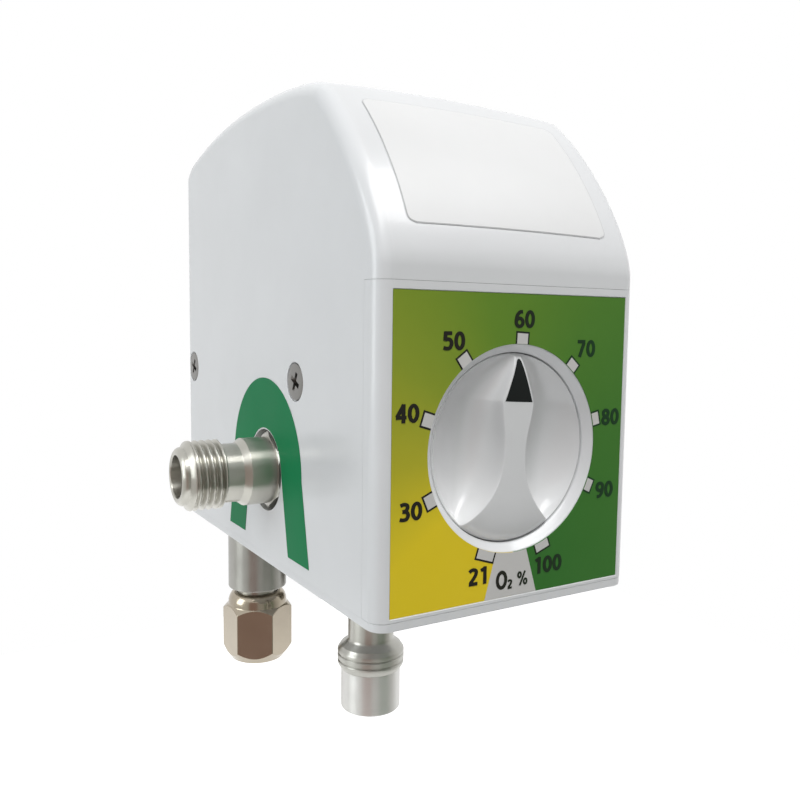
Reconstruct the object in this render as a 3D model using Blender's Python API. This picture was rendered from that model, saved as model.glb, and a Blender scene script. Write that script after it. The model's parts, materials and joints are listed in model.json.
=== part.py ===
"""Air-oxygen blender: a ward gas mixer hung on a rear slide mount.

Sizes are in millimetres in the body's own frame: x to the right seen from the front,
y back from the front face, z up from the base plate's lower edge. place() moves them
to the origin, which is the middle of the slide mount's rear face, and to metres.
"""
import math

import bmesh
import bpy
from mathutils import Vector

MM = 0.001
GAP = 0.3

# Body
BODY_W = 57.2
BODY_D = 105.4
BODY_H = 98.6
HALF_W = BODY_W / 2
WALL = 2.2
EDGE_R = 3.0
CROWN = 1.0
MIDDLE = (0.5,)
BASE_T = 1.5
SHELL_Z = BASE_T + GAP
SEAM_Z = 58.2
PANEL_DEPTH = 4.6
NOSE = (0.0, 60.5)
SHOULDER = (22.6, BODY_H - 4.3)
SHOULDER_SLOPE = 38.0
RIDGE = (58.0, BODY_H)
HEEL = (BODY_D - 6.4, BODY_H - 4.6)
HEEL_SLOPE = -13.0
BACK_Z = BODY_H - 10.6

# Dial
DIAL_Z = 29.1
DIAL_ANGLE = 3.4
KNOB_R = 18.3
KNOB_CLEARANCE = 0.45
KNOB_EDGE = 0.5
KNOB_FACE_R = KNOB_R - KNOB_EDGE
KNOB_BACK = 12.0
WELL_R = KNOB_R + KNOB_CLEARANCE
WELL_FLOOR = KNOB_BACK + 0.8
WELL_WALL = 1.6
RIM_Y = 2.8
GRIP_Y = 0.2
GRIP_FLAT_R = 9.0
TIP_INSET = 1.4
TIP_Z = KNOB_FACE_R - TIP_INSET
TIP_HALF = 0.6
POINTER_Z = 8.6
POINTER_HALF = 3.3
WAIST_HALF = 2.25
CORNER_ANGLE = 37.08
CORNER_Z = -KNOB_FACE_R * math.cos(math.radians(CORNER_ANGLE))
SCOOP_DEPTH = 6.0
SPINDLE_R = 3.0
RUN = 0.1

# Labels
LABEL_T = 0.3
RECESS = LABEL_T + GAP
DIAL_LABEL_HALF = HALF_W - EDGE_R
DIAL_LABEL_Z = (BASE_T + 1.0, SEAM_Z - 1.6)
TOP_LABEL_HALF = HALF_W - 6.6
TOP_LABEL_SPAN = (0.16, 0.90)

# Manifold block
BLOCK_INSET = 4.6
BLOCK_HALF = HALF_W - BLOCK_INSET
BLOCK_Y = (24.0, BODY_D - WALL - 2 * GAP)
BLOCK_Z = (2.5, 46.0)
BLOCK_FOOT = BLOCK_Z[0] - GAP

# Primary outlet
OUT_Y = 48.5
OUT_Z = 20.0
OUT_LEN = 19.1
OUT_HOLE_R = 8.7
OUT_THREAD_R = 7.14
OUT_NECK_R = 6.1
OUT_BARREL_R = 7.05
OUT_HEX_AF = 14.5
OUT_STEM_R = 5.5
OUT_STEM_END = 15.6

# Gas inlets
INLET_X = 13.6
INLET_Y = BODY_D - 12.4
SLEEVE_R = 7.75
SLEEVE_Z = -20.0
NIPPLE_NECK_R = 5.5
NUT_AF = 16.1
NUT_TOP = -21.3
NUT_BOTTOM = -39.5
NUT_BORE_R = 6.6
NUT_TURN = 34.2
AIR_THREAD_R = 9.5
AIR_BOTTOM = -25.0
INLET_STEM_R = 6.6

# Alarm
ALARM_Y = 53.2
ALARM_NECK_R = 5.5
ALARM_COLLAR_R = 7.95
ALARM_CAP_R = 7.1
ALARM_BOTTOM = -40.5

# Balance module
BAL_Y = 56.0
BAL_R = 18.5
BAL_STROKE = 0.3

# Slide mount
SLIDE_NECK_HALF = 13.0
SLIDE_HALF = 19.0
SLIDE_T = 11.0
SLIDE_H = 50.0
SLIDE_Z = 40.0

# Screws
SIDE_SCREWS = [(32.8, 39.7), (BODY_D - 6.0, 39.5)]
SIDE_HEAD_R = 3.65
SCREW_R = 2.0

# Facets
FINE = 32
ROUND = 20
SMALL = 16
INNER = 12
TINY = 8

ORIGIN_Y = BODY_D + GAP + SLIDE_T

for old in list(bpy.data.objects):
    bpy.data.objects.remove(old, do_unlink=True)


def make_material(name, colour, roughness, metallic=0.0):
    material = bpy.data.materials.new(name)
    material.use_nodes = True
    shader = material.node_tree.nodes["Principled BSDF"]
    shader.inputs["Base Color"].default_value = (*colour, 1.0)
    shader.inputs["Roughness"].default_value = roughness
    shader.inputs["Metallic"].default_value = metallic
    material.diffuse_color = (*colour, 1.0)
    return material


WHITE = make_material("white_plastic", (0.80, 0.81, 0.82), 0.22)
FILM = make_material("printed_film", (0.86, 0.87, 0.87), 0.35)
GREEN = make_material("green_film", (0.02, 0.25, 0.10), 0.35)
DIAL_GREEN = make_material("dial_film", (0.12, 0.27, 0.03), 0.35)
BLACK = make_material("black_plastic", (0.015, 0.017, 0.017), 0.4)
NICKEL = make_material("nickel_plate", (0.66, 0.63, 0.58), 0.2, 1.0)
STEEL = make_material("stainless_steel", (0.60, 0.60, 0.61), 0.28, 1.0)
ALUMINIUM = make_material("anodised_aluminium", (0.62, 0.63, 0.65), 0.4, 1.0)
BRASS = make_material("brass", (0.72, 0.53, 0.24), 0.3, 1.0)
BRONZE = make_material("sintered_bronze", (0.46, 0.30, 0.14), 0.8, 1.0)
RUBBER = make_material("black_rubber", (0.02, 0.02, 0.02), 0.7)
SPRING = make_material("spring_steel", (0.50, 0.50, 0.52), 0.3, 1.0)


def place(x, y, z):
    return Vector((x, y - ORIGIN_Y, z - SLIDE_Z)) * MM


def add_object(name, verts, faces, material, where=(0, 0, 0), smooth=True):
    mesh = bpy.data.meshes.new(name)
    mesh.from_pydata([Vector(v) * MM for v in verts], [], faces)
    shell = bmesh.new()
    shell.from_mesh(mesh)
    bmesh.ops.recalc_face_normals(shell, faces=shell.faces)
    shell.to_mesh(mesh)
    shell.free()
    if smooth:
        mesh.shade_smooth()
        mesh.set_sharp_from_angle(angle=math.radians(30))
    thing = bpy.data.objects.new(name, mesh)
    bpy.context.scene.collection.objects.link(thing)
    thing.location = place(*where)
    if material:
        mesh.materials.append(material)
    return thing


def spun(axis, radius, height, angle):
    """A point at a radius and angle round the axis, at a height along it."""
    a = radius * math.cos(angle)
    b = radius * math.sin(angle)
    return {"X": (height, a, b), "Y": (a, height, b), "Z": (a, b, height)}[axis]


def turned_mesh(profile, axis, segments, start=0.0):
    """A closed (radius, height) outline turned about the axis."""
    verts = []
    rings = []
    for radius, height in profile:
        count = 1 if radius == 0 else segments
        rings.append(list(range(len(verts), len(verts) + count)))
        for k in range(count):
            verts.append(spun(axis, radius, height, start + k * math.tau / segments))
    faces = []
    for one, two in zip(rings, rings[1:] + rings[:1]):
        for k in range(segments):
            j = (k + 1) % segments
            corners = [one[k % len(one)], one[j % len(one)], two[j % len(two)], two[k % len(two)]]
            corners = list(dict.fromkeys(corners))
            if len(corners) > 2:
                faces.append(corners)
    return verts, faces


def turned(name, profile, material, where, axis="Z", segments=ROUND, start=0.0):
    verts, faces = turned_mesh(profile, axis, segments, start)
    return add_object(name, verts, faces, material, where)


def rod_mesh(axis, radius, low, high, segments, start=0.0):
    """A plain rod whose ends are single faces."""
    verts = [spun(axis, radius, h, start + k * math.tau / segments)
             for h in (low, high) for k in range(segments)]
    faces = [list(range(segments)), list(range(segments, 2 * segments))]
    for k in range(segments):
        j = (k + 1) % segments
        faces.append([k, j, segments + j, segments + k])
    return verts, faces


def prism_mesh(outline, low, high, axis="Z"):
    """A flat outline carried from low to high along the axis."""
    order = {"X": lambda p, h: (h, p[0], p[1]),
             "Y": lambda p, h: (p[0], h, p[1]),
             "Z": lambda p, h: (p[0], p[1], h)}[axis]
    count = len(outline)
    verts = [order(p, h) for h in (low, high) for p in outline]
    faces = [list(range(count)), list(range(count, 2 * count))]
    for k in range(count):
        j = (k + 1) % count
        faces.append([k, j, count + j, count + k])
    return verts, faces


def prism(name, outline, low, high, material, where=(0, 0, 0), axis="Z"):
    verts, faces = prism_mesh(outline, low, high, axis)
    return add_object(name, verts, faces, material, where)


def rectangle(x0, x1, y0, y1):
    return [(x0, y0), (x1, y0), (x1, y1), (x0, y1)]


def arc(cx, cy, radius, start, end, steps):
    angles = [math.radians(start + (end - start) * k / steps) for k in range(steps + 1)]
    return [(cx + radius * math.cos(a), cy + radius * math.sin(a)) for a in angles]


def rounded(x0, x1, y0, y1, radius, steps=4):
    return (arc(x1 - radius, y1 - radius, radius, 0, 90, steps)
            + arc(x0 + radius, y1 - radius, radius, 90, 180, steps)
            + arc(x0 + radius, y0 + radius, radius, 180, 270, steps)
            + arc(x1 - radius, y0 + radius, radius, 270, 360, steps))


def combine(target, tool, operation="DIFFERENCE"):
    """Apply one Boolean step with a guide solid that isn't rendered."""
    tool.hide_render = True
    tool.display_type = "WIRE"
    step = target.modifiers.new(tool.name, "BOOLEAN")
    step.operation = operation
    step.solver = "EXACT"
    step.object = tool
    return target


def guide(target, suffix, mesh_data, where=(0, 0, 0), operation="DIFFERENCE"):
    verts, faces = mesh_data
    tool = add_object(f"{target.name}.{suffix}", verts, faces, None, where, smooth=False)
    return combine(target, tool, operation)


def bore(target, suffix, where, axis, radius, low, high, segments=SMALL):
    return guide(target, suffix, rod_mesh(axis, radius, low, high, segments), where)


def bezier(start, start_angle, start_pull, end, end_angle, end_pull, steps):
    """Points of a cubic curve from its ends' directions, without the first."""
    a, b = math.radians(start_angle), math.radians(end_angle)
    p0, p3 = Vector(start), Vector(end)
    p1 = p0 + Vector((math.cos(a), math.sin(a))) * start_pull
    p2 = p3 - Vector((math.cos(b), math.sin(b))) * end_pull
    points = []
    for k in range(1, steps + 1):
        t = k / steps
        s = 1 - t
        points.append(p0 * s ** 3 + p1 * 3 * s * s * t + p2 * 3 * s * t * t + p3 * t ** 3)
    return points


def inset(points, distance):
    """Move an open outline to its right-hand side."""
    moved = []
    for k, point in enumerate(points):
        ahead = points[min(k + 1, len(points) - 1)] - points[max(k - 1, 0)]
        side = Vector((ahead.y, -ahead.x)).normalized()
        moved.append(point + side * distance)
    return moved


def cover_outline(bottom):
    """The cover's side outline from the front's foot over the top to the back's foot."""
    line = [Vector((NOSE[0], bottom)), Vector(NOSE)]
    line += bezier(NOSE, 90, 7, SHOULDER, SHOULDER_SLOPE, 16, 8)
    line += bezier(SHOULDER, SHOULDER_SLOPE, 4, RIDGE, 0, 18, 4)
    line += bezier(RIDGE, 0, 16, HEEL, HEEL_SLOPE, 14, 3)
    line += bezier(HEEL, HEEL_SLOPE, 3, (BODY_D, BACK_Z), -90, 3, 3)
    line.append(Vector((BODY_D, bottom)))
    return line


def crowned(line, x, distance):
    """The outline at one x, set in by a distance and lowered by the crown."""
    row = []
    for k, point in enumerate(inset(line, distance)):
        run = line[min(k + 1, len(line) - 1)] - line[max(k - 1, 0)]
        drop = CROWN * (x / HALF_W) ** 2 * abs(run.x) / run.length
        row.append((x, point.x, point.y - drop))
    return row


def loft(stations, bottom):
    """A closed solid through side outlines set in by a distance at each x."""
    line = cover_outline(bottom)
    count = len(line)
    verts = [vert for x, distance in stations for vert in crowned(line, x, distance)]
    faces = []
    for row in range(len(stations) - 1):
        for k in range(count):
            j = (k + 1) % count
            one, two = row * count, (row + 1) * count
            faces.append([one + k, one + j, two + j, two + k])
    faces.append(list(range(count)))
    faces.append(list(range((len(stations) - 1) * count, len(stations) * count)))
    return verts, faces


def edge_stations(half, radius, steps):
    """x stations and insets that round both side edges."""
    right = [(half * share, 0.0) for share in MIDDLE]
    for k in range(steps + 1):
        a = math.radians(90 * k / steps)
        right.append((half - radius + radius * math.sin(a), radius - radius * math.cos(a)))
    left = [(-x, d) for x, d in reversed(right)]
    return left + [(0.0, 0.0)] + right


# Cover: one moulded shell, open below and at the front under the nose.
cover = add_object("cover", *loft(edge_stations(HALF_W, EDGE_R, 3), SHELL_Z), WHITE)
guide(cover, "cavity", loft([(WALL - HALF_W, WALL), (HALF_W - WALL, WALL)], SHELL_Z - 5))
guide(cover, "front_opening",
      prism_mesh(rectangle(-HALF_W - 1, HALF_W + 1, -1, PANEL_DEPTH + GAP), SHELL_Z - 1, SEAM_Z))
bore(cover, "outlet_hole", (-HALF_W, OUT_Y, OUT_Z), "X", OUT_HOLE_R, -WALL, WALL * 2, ROUND)
for side in (-1, 1):
    for number, (y, z) in enumerate(SIDE_SCREWS):
        recess = turned_mesh([(0, -1), (SIDE_HEAD_R + GAP, -1), (SIDE_HEAD_R + GAP, GAP),
                              (SCREW_R + GAP, 1.7), (SCREW_R + GAP, WALL * 2), (0, WALL * 2)],
                             "X", SMALL)
        recess = ([(-side * x, b, c) for x, b, c in recess[0]], recess[1])
        guide(cover, f"screw_{'left' if side < 0 else 'right'}_{number}", recess,
              (side * HALF_W, y, z))
guide(cover, "slide_hole",
      prism_mesh(rectangle(-SLIDE_NECK_HALF + 3, SLIDE_NECK_HALF - 3,
                           SLIDE_Z - 19, SLIDE_Z + 6), -WALL * 2, WALL, "Y"), (0, BODY_D, 0))

# Front panel: a flat bezel with rounded corners, a label recess and the dial's well.
plan = ([(-HALF_W, PANEL_DEPTH)] + arc(EDGE_R - HALF_W, EDGE_R, EDGE_R, 180, 270, 4)
        + arc(HALF_W - EDGE_R, EDGE_R, EDGE_R, 270, 360, 4) + [(HALF_W, PANEL_DEPTH)]
        + [(HALF_W - WALL, PANEL_DEPTH), (HALF_W - WALL, WALL + RECESS),
           (WALL - HALF_W, WALL + RECESS), (WALL - HALF_W, PANEL_DEPTH)])
panel = prism("front_panel", plan, SHELL_Z, SEAM_Z - GAP, WHITE)
guide(panel, "recess", prism_mesh(rectangle(-DIAL_LABEL_HALF - GAP, DIAL_LABEL_HALF + GAP,
                                            DIAL_LABEL_Z[0] - GAP, DIAL_LABEL_Z[1] + GAP),
                                  -1, RECESS, "Y"))
POST_X = BLOCK_HALF - 3.7
POST_Z = (10.5, 43.0)
POST_R = 3.2
guide(panel, "well_wall", rod_mesh("Y", WELL_R + WELL_WALL, 1.5, WELL_FLOOR + 2, FINE),
      (0, 0, DIAL_Z), "UNION")
for number, (x, z) in enumerate([(s * POST_X, z) for s in (-1, 1) for z in POST_Z]):
    guide(panel, f"post_{number}", rod_mesh("Y", POST_R, 1.6, BLOCK_Y[0] - GAP, TINY),
          (x, 0, z), "UNION")
bore(panel, "well", (0, 0, DIAL_Z), "Y", WELL_R, -1, WELL_FLOOR, FINE)
bore(panel, "bonnet_hole", (0, 0, DIAL_Z), "Y", 6.3, WELL_FLOOR - 1, WELL_FLOOR + 4, SMALL)
for number, (x, z) in enumerate([(s * POST_X, z) for s in (-1, 1) for z in POST_Z]):
    seat = turned_mesh([(0, 0), (2.7, 0), (2.7, 2.6), (1.55, 3.4), (1.55, 30), (0, 30)],
                       "Y", TINY)
    guide(panel, f"screw_{number}", seat, (x, 0, z))

# Base plate with a raised locating lip and clearance for the fittings.
base = prism("base_plate", rounded(-HALF_W, HALF_W, 0, BODY_D, EDGE_R), 0, BASE_T, WHITE)
lip = prism_mesh(rounded(-HALF_W + WALL + GAP, HALF_W - WALL - GAP,
                         PANEL_DEPTH + GAP, BODY_D - WALL - GAP, 2.0, 2), 0.5, 5.0)
guide(base, "lip", lip, operation="UNION")
guide(base, "lip_inside", prism_mesh(rectangle(-BLOCK_HALF - GAP, BLOCK_HALF + GAP,
                                               PANEL_DEPTH + 3, BODY_D - WALL), 2.2, 8))
for label, x, y, radius in (("oxygen", -INLET_X, INLET_Y, SLEEVE_R + 0.5),
                            ("air", INLET_X, INLET_Y, SLEEVE_R + 0.5),
                            ("alarm", 0, ALARM_Y, ALARM_NECK_R + 0.5)):
    bore(base, f"{label}_hole", (x, y, 0), "Z", radius, -1, 8, ROUND)
BASE_SCREW_X = BLOCK_HALF - 6.0
BASE_SCREWS = [(x, y) for y in (BLOCK_Y[0] + 10.0, INLET_Y - 17.0)
               for x in (-BASE_SCREW_X, BASE_SCREW_X)]
for number, (x, y) in enumerate(BASE_SCREWS):
    guide(base, f"screw_{number}", turned_mesh([(0, -1), (3.2, -1), (3.2, 0.4), (1.7, 1.7),
                                                (1.7, 8), (0, 8)], "Z", INNER), (x, y, 0))

# Manifold block, bored for every valve and fitting.
block = prism("manifold", rectangle(-BLOCK_HALF, BLOCK_HALF, *BLOCK_Y), *BLOCK_Z, ALUMINIUM)
VALVE_R = 10.0
VALVE_END = 70.0
bore(block, "valve_bore", (0, 0, DIAL_Z), "Y", VALVE_R, BLOCK_Y[0] - 1, VALVE_END, ROUND)
OUT_BORE_END = OUT_STEM_END + 0.5 - BLOCK_INSET
bore(block, "outlet_bore", (-BLOCK_HALF, OUT_Y, OUT_Z), "X", OUT_STEM_R + GAP, -1, OUT_BORE_END)
bore(block, "outlet_gallery", (-BLOCK_HALF, OUT_Y, OUT_Z), "X", 2.5, OUT_BORE_END - 1,
     OUT_BORE_END + 10.5, TINY)
for label, x in (("oxygen", -INLET_X), ("air", INLET_X)):
    bore(block, f"{label}_bore", (x, INLET_Y, 0), "Z", INLET_STEM_R + GAP, 1, 18)
    bore(block, f"{label}_gallery", (x, INLET_Y, 0), "Z", 3.0, 17, 34, TINY)
    bore(block, f"{label}_feed", (x * 0.86, INLET_Y, DIAL_Z), "Y", 2.4,
         VALVE_END - 9 - INLET_Y, 0, TINY)
bore(block, "alarm_bore", (0, ALARM_Y, 0), "Z", 4.5, 1, 12.5)
bore(block, "alarm_gallery", (0, ALARM_Y, 0), "Z", 1.8, 12, 22, TINY)
bore(block, "balance_gallery", (0, BAL_Y, 0), "Z", 4.6, 36, 47)
for number, (x, z) in enumerate([(s * POST_X, z) for s in (-1, 1) for z in POST_Z]):
    bore(block, f"panel_screw_{number}", (x, BLOCK_Y[0], z), "Y", 1.5, -1, 6, TINY)
for number, (x, y) in enumerate(BASE_SCREWS):
    bore(block, f"base_screw_{number}", (x, y, 0), "Z", 1.8, 1, 11, TINY)
for side in (-1, 1):
    for number, (y, z) in enumerate(SIDE_SCREWS):
        guide(block, f"side_screw_{'left' if side < 0 else 'right'}_{number}",
              rod_mesh("X", SCREW_R + GAP, -9, 1, TINY) if side > 0
              else rod_mesh("X", SCREW_R + GAP, -1, 9, TINY), (side * BLOCK_HALF, y, z))
BAL_SCREWS = arc(0, BAL_Y, 16.5, 84, 324, 2)
for number, (x, y) in enumerate(BAL_SCREWS):
    bore(block, f"balance_screw_{number}", (x, y, BLOCK_Z[1]), "Z", 1.5, -7, 1, TINY)
SLIDE_SCREWS = [(-6.0, 33.0), (6.0, 33.0)]
for number, (x, z) in enumerate(SLIDE_SCREWS):
    bore(block, f"slide_screw_{number}", (x, BLOCK_Y[1], z), "Y", 1.8, -10, 1, TINY)

# Labels: thin films, each clear of the wall behind it.
dial_label = prism("dial_label", rectangle(-DIAL_LABEL_HALF, DIAL_LABEL_HALF, *DIAL_LABEL_Z),
                   0, LABEL_T, DIAL_GREEN, axis="Y")
bore(dial_label, "dial_hole", (0, 0, DIAL_Z), "Y", WELL_R, -1, 1, FINE)

slope = bezier(NOSE, 90, 7, SHOULDER, SHOULDER_SLOPE, 16, 24)
first, last = (round(share * len(slope)) for share in TOP_LABEL_SPAN)
slope = slope[first:last:2]
rows = [TOP_LABEL_HALF * share for share in (-1, -0.8, -0.4, 0, 0.4, 0.8, 1)]
verts = []
for x in rows:
    verts += crowned(slope, x, -GAP)
    verts += reversed(crowned(slope, x, -GAP - LABEL_T))
loop = 2 * len(slope)
faces = [list(range(loop)), list(range(len(verts) - loop, len(verts)))]
for row in range(len(rows) - 1):
    for k in range(loop):
        j = (k + 1) % loop
        one, two = row * loop, (row + 1) * loop
        faces.append([one + k, one + j, two + j, two + k])
add_object("top_label", verts, faces, FILM)

ARCH_R = 19.0
FOOT_Z = 4.1
arch = arc(OUT_Y, 21.0, ARCH_R, 0, 180, 16)
inner_arch = arc(OUT_Y, OUT_Z, OUT_HOLE_R + 0.7, 180, 0, 12)
horseshoe = ([(OUT_Y + 22.5, FOOT_Z)] + arch + [(OUT_Y - 22.5, FOOT_Z), (OUT_Y - 12.4, FOOT_Z)]
             + inner_arch + [(OUT_Y + 12.4, FOOT_Z)])
prism("outlet_label", horseshoe, -GAP - LABEL_T, -GAP, GREEN, (-HALF_W, 0, 0), "X")


# Dial knob: a flush disc with two scoops that leave a waisted pointer grip.
def grip_half(z):
    """Half the grip's width at a height from the knob's centre."""
    if z > POINTER_Z:
        share = (z - POINTER_Z) / (TIP_Z - POINTER_Z)
        return POINTER_HALF + (TIP_HALF - POINTER_HALF) * min(share, 1.0)
    if z > 0:
        swell = 0.5 - 0.5 * math.cos(math.pi * z / POINTER_Z)
        return WAIST_HALF + (POINTER_HALF - WAIST_HALF) * swell
    flare = math.sqrt(KNOB_FACE_R ** 2 - CORNER_Z ** 2) - WAIST_HALF
    return WAIST_HALF + flare * (z / CORNER_Z) ** 2.6


def face_y(x, z):
    """The grip's face, falling away to the rim like a shallow dome."""
    share = (math.hypot(x, z) - GRIP_FLAT_R) / (KNOB_FACE_R - GRIP_FLAT_R)
    share = min(max(share, 0.0), 1.0)
    return RIM_Y - (RIM_Y - GRIP_Y) * math.sqrt(1 - share * share)


def scoop_y(z, across, along):
    """The scoop's floor from the grip (across 0) to the rim (across 1)."""
    edge = face_y(grip_half(z), z)
    bowl = math.sin(math.pi * across ** 0.62) ** 0.8 * math.sin(math.pi * along) ** 0.55
    return edge + (RIM_Y - edge) * across + SCOOP_DEPTH * bowl


ROWS = 14
STRIP = (-1, -0.5, 0, 0.5, 1)
ACROSS = (0.04, 0.13, 0.28, 0.48, 0.68, 0.86, 1.0)
TOP_Z = math.sqrt(KNOB_FACE_R ** 2 - 1.5 ** 2)
heights = [-KNOB_FACE_R * math.cos(math.radians(a)) for a in (12, 25)]
CORNER = len(heights)
heights += [CORNER_Z + (TOP_Z - CORNER_Z) * k / ROWS for k in range(ROWS + 1)]
verts, strip, sides, faces = [], [], {-1: [], 1: []}, []
for row, z in enumerate(heights):
    reach = math.sqrt(KNOB_FACE_R ** 2 - z * z)
    along = (z - CORNER_Z) / (TOP_Z - CORNER_Z)
    scooped = CORNER < row < len(heights) - 1
    half = grip_half(z) if scooped else reach
    strip.append([])
    for share in STRIP:
        x = half * share
        on_rim = row in (0, len(heights) - 1)
        height = math.copysign(math.sqrt(KNOB_FACE_R ** 2 - x * x), z) if on_rim else z
        strip[-1].append(len(verts))
        verts.append((x, face_y(x, height), height))
    for side in sides:
        line = [strip[-1][-1 if side > 0 else 0]] * (1 + len(ACROSS))
        if scooped:
            for k, across in enumerate(ACROSS):
                line[k + 1] = len(verts)
                verts.append((side * (half + (reach - half) * across),
                              scoop_y(z, across, along), z))
        sides[side].append(line)
for lines in (strip, sides[-1], sides[1]):
    for one, two in zip(lines, lines[1:]):
        for k in range(len(one) - 1):
            corners = list(dict.fromkeys([one[k], one[k + 1], two[k + 1], two[k]]))
            if len(corners) > 2:
                faces.append(corners)
inner_rows = range(1, len(heights) - 1)
rim = (strip[0] + [sides[1][row][-1] for row in inner_rows] + strip[-1][::-1]
       + [sides[-1][row][-1] for row in reversed(inner_rows)])
for y in (RIM_Y + KNOB_R - KNOB_FACE_R, KNOB_BACK):
    ring = []
    for index in rim:
        scale = KNOB_R / math.hypot(verts[index][0], verts[index][2])
        ring.append(len(verts))
        verts.append((verts[index][0] * scale, y, verts[index][2] * scale))
    for k in range(len(rim)):
        j = (k + 1) % len(rim)
        faces.append([rim[k], rim[j], ring[j], ring[k]])
    rim = ring
faces.append(rim)
knob = add_object("knob", verts, faces, WHITE, (0, 0, DIAL_Z))
bore(knob, "spindle_hole", (0, 0, DIAL_Z), "Y", SPINDLE_R + RUN, 3.6, KNOB_BACK + 1, SMALL)
KNOB_SCREW_Y = 10.0
bore(knob, "screw_hole", (0, KNOB_SCREW_Y, DIAL_Z), "X", 1.3, 0, KNOB_R + 1, TINY)
pointer_seat = [(-0.3, TIP_Z - 0.1), (0.3, TIP_Z - 0.1), (POINTER_HALF - 0.2, POINTER_Z),
                (0.2 - POINTER_HALF, POINTER_Z)]
guide(knob, "pointer_seat", prism_mesh(pointer_seat, -2, 2.6, "Y"), (0, 0, DIAL_Z))
inlay = [(-0.15, TIP_Z - 0.6), (0.15, TIP_Z - 0.6), (POINTER_HALF - 0.55, POINTER_Z + 0.3),
         (0.55 - POINTER_HALF, POINTER_Z + 0.3)]
verts, faces = prism_mesh(inlay, 2.2, 2.3, "Y")
verts = [(x, face_y(x, z) if y < 2.25 else 2.3, z) for x, y, z in verts]
pointer = add_object("pointer", verts, faces, BLACK, (0, 0, DIAL_Z))
knob_screw = add_object("knob_screw", *rod_mesh("X", 1.0, SPINDLE_R + GAP, 9.0, TINY), STEEL,
                        (0, KNOB_SCREW_Y, DIAL_Z))

# Mixing valve: spindle, bonnet, two seats and the sliding double cone.
SPINDLE_END = 48.0
BONNET_END = 37.0
spindle = turned("spindle", [(0, 3.9), (SPINDLE_R, 3.9), (SPINDLE_R, 31), (4.7, 31),
                             (4.7, 33.5), (SPINDLE_R, 33.5), (SPINDLE_R, 40), (2.6, 40.5),
                             (2.6, SPINDLE_END), (0, SPINDLE_END)],
                 STEEL, (0, 0, DIAL_Z), "Y", SMALL)
for thing in bpy.data.objects:
    if thing.name.startswith(("knob", "pointer", "spindle")):
        thing.rotation_euler = (0, math.radians(DIAL_ANGLE), 0)
turned("bonnet", [(SPINDLE_R + RUN, 12.5), (5.9, 12.5), (5.9, 15.2), (8.5, 15.2), (8.5, 20.5),
                  (12.5, 20.5), (12.5, BLOCK_Y[0] - GAP), (VALVE_R - GAP, BLOCK_Y[0] - GAP),
                  (VALVE_R - GAP, BONNET_END), (5.0, BONNET_END), (5.0, 30.6),
                  (SPINDLE_R + RUN, 30.6)], BRASS, (0, 0, DIAL_Z), "Y", SMALL)
turned("spindle_seal", [(SPINDLE_R + GAP, 33.9), (4.7, 33.9), (4.7, 36.2),
                        (SPINDLE_R + GAP, 36.2)], RUBBER, (0, 0, DIAL_Z), "Y", INNER)
SEAT_BORE = 5.6
for name, low, high in (("air_seat", 38.0, 41.0), ("oxygen_seat", 55.0, 58.0)):
    turned(name, [(SEAT_BORE, low), (VALVE_R - GAP, low), (VALVE_R - GAP, high),
                  (SEAT_BORE, high)], BRASS, (0, 0, DIAL_Z), "Y", INNER)
turned("valve_cone", [(2.6 + RUN, 42.4), (4.6, 42.4), (6.6, 44.6), (6.6, 51.4), (4.6, 53.6),
                      (0, 53.6), (0, 50), (2.6 + RUN, 50)], STEEL, (0, 0, DIAL_Z), "Y",
       SMALL)


def coil_mesh(axis, radius, wire, low, high, turns, steps=8):
    """A square-section helical spring between two heights, wire included."""
    verts = []
    total = turns * steps
    for k in range(total + 1):
        angle = k * math.tau / steps
        middle = low + wire + (high - low - 2 * wire) * k / total
        for dr, dh in ((-wire, -wire), (wire, -wire), (wire, wire), (-wire, wire)):
            verts.append(spun(axis, radius + dr, middle + dh, angle))
    faces = [[0, 1, 2, 3], [4 * total + k for k in range(4)]]
    for k in range(total):
        for c in range(4):
            d = (c + 1) % 4
            faces.append([4 * k + c, 4 * k + d, 4 * k + 4 + d, 4 * k + 4 + c])
    return verts, faces


add_object("valve_spring", *coil_mesh("Y", 3.9, 0.45, 53.9, VALVE_END - GAP, 3), SPRING,
           (0, 0, DIAL_Z))

# Primary outlet: distances run outward from the cover's left wall.
HEX_FACE = 0.1
HEX_FOOT = 3.2
outlet = add_object("outlet_body", *turned_mesh(
    [(0, -OUT_LEN), (5.5, -OUT_LEN), (6.0, 0.5 - OUT_LEN), (6.0, 1.2 - OUT_LEN),
     (OUT_THREAD_R, 2.2 - OUT_LEN), (OUT_THREAD_R, -10.6), (OUT_NECK_R, -10.1),
     (OUT_NECK_R, -6.7), (OUT_BARREL_R, -5.4), (OUT_BARREL_R, 3.0), (OUT_STEM_R, 3.0),
     (OUT_STEM_R, OUT_STEM_END), (0, OUT_STEM_END)], "X", ROUND), NICKEL,
    (-HALF_W, OUT_Y, OUT_Z))
guide(outlet, "hex", rod_mesh("X", OUT_HEX_AF / math.sqrt(3), HEX_FACE, HEX_FOOT, 6,
                              math.radians(30)), (-HALF_W, OUT_Y, OUT_Z), "UNION")
guide(outlet, "bore", turned_mesh(
    [(0, -OUT_LEN - 1), (4.3, -OUT_LEN - 1), (4.3, 3.6 - OUT_LEN), (3.0, 4.2 - OUT_LEN),
     (3.0, -6.0), (4.1, -6.0), (4.1, 20), (0, 20)], "X", SMALL), (-HALF_W, OUT_Y, OUT_Z))
turned("outlet_seal", [(OUT_STEM_R + GAP, 3.5), (OUT_STEM_R + 1.5, 3.5),
                       (OUT_STEM_R + 1.5, BLOCK_INSET - GAP),
                       (OUT_STEM_R + GAP, BLOCK_INSET - GAP)], RUBBER, (-HALF_W, OUT_Y, OUT_Z), "X", SMALL)
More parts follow.
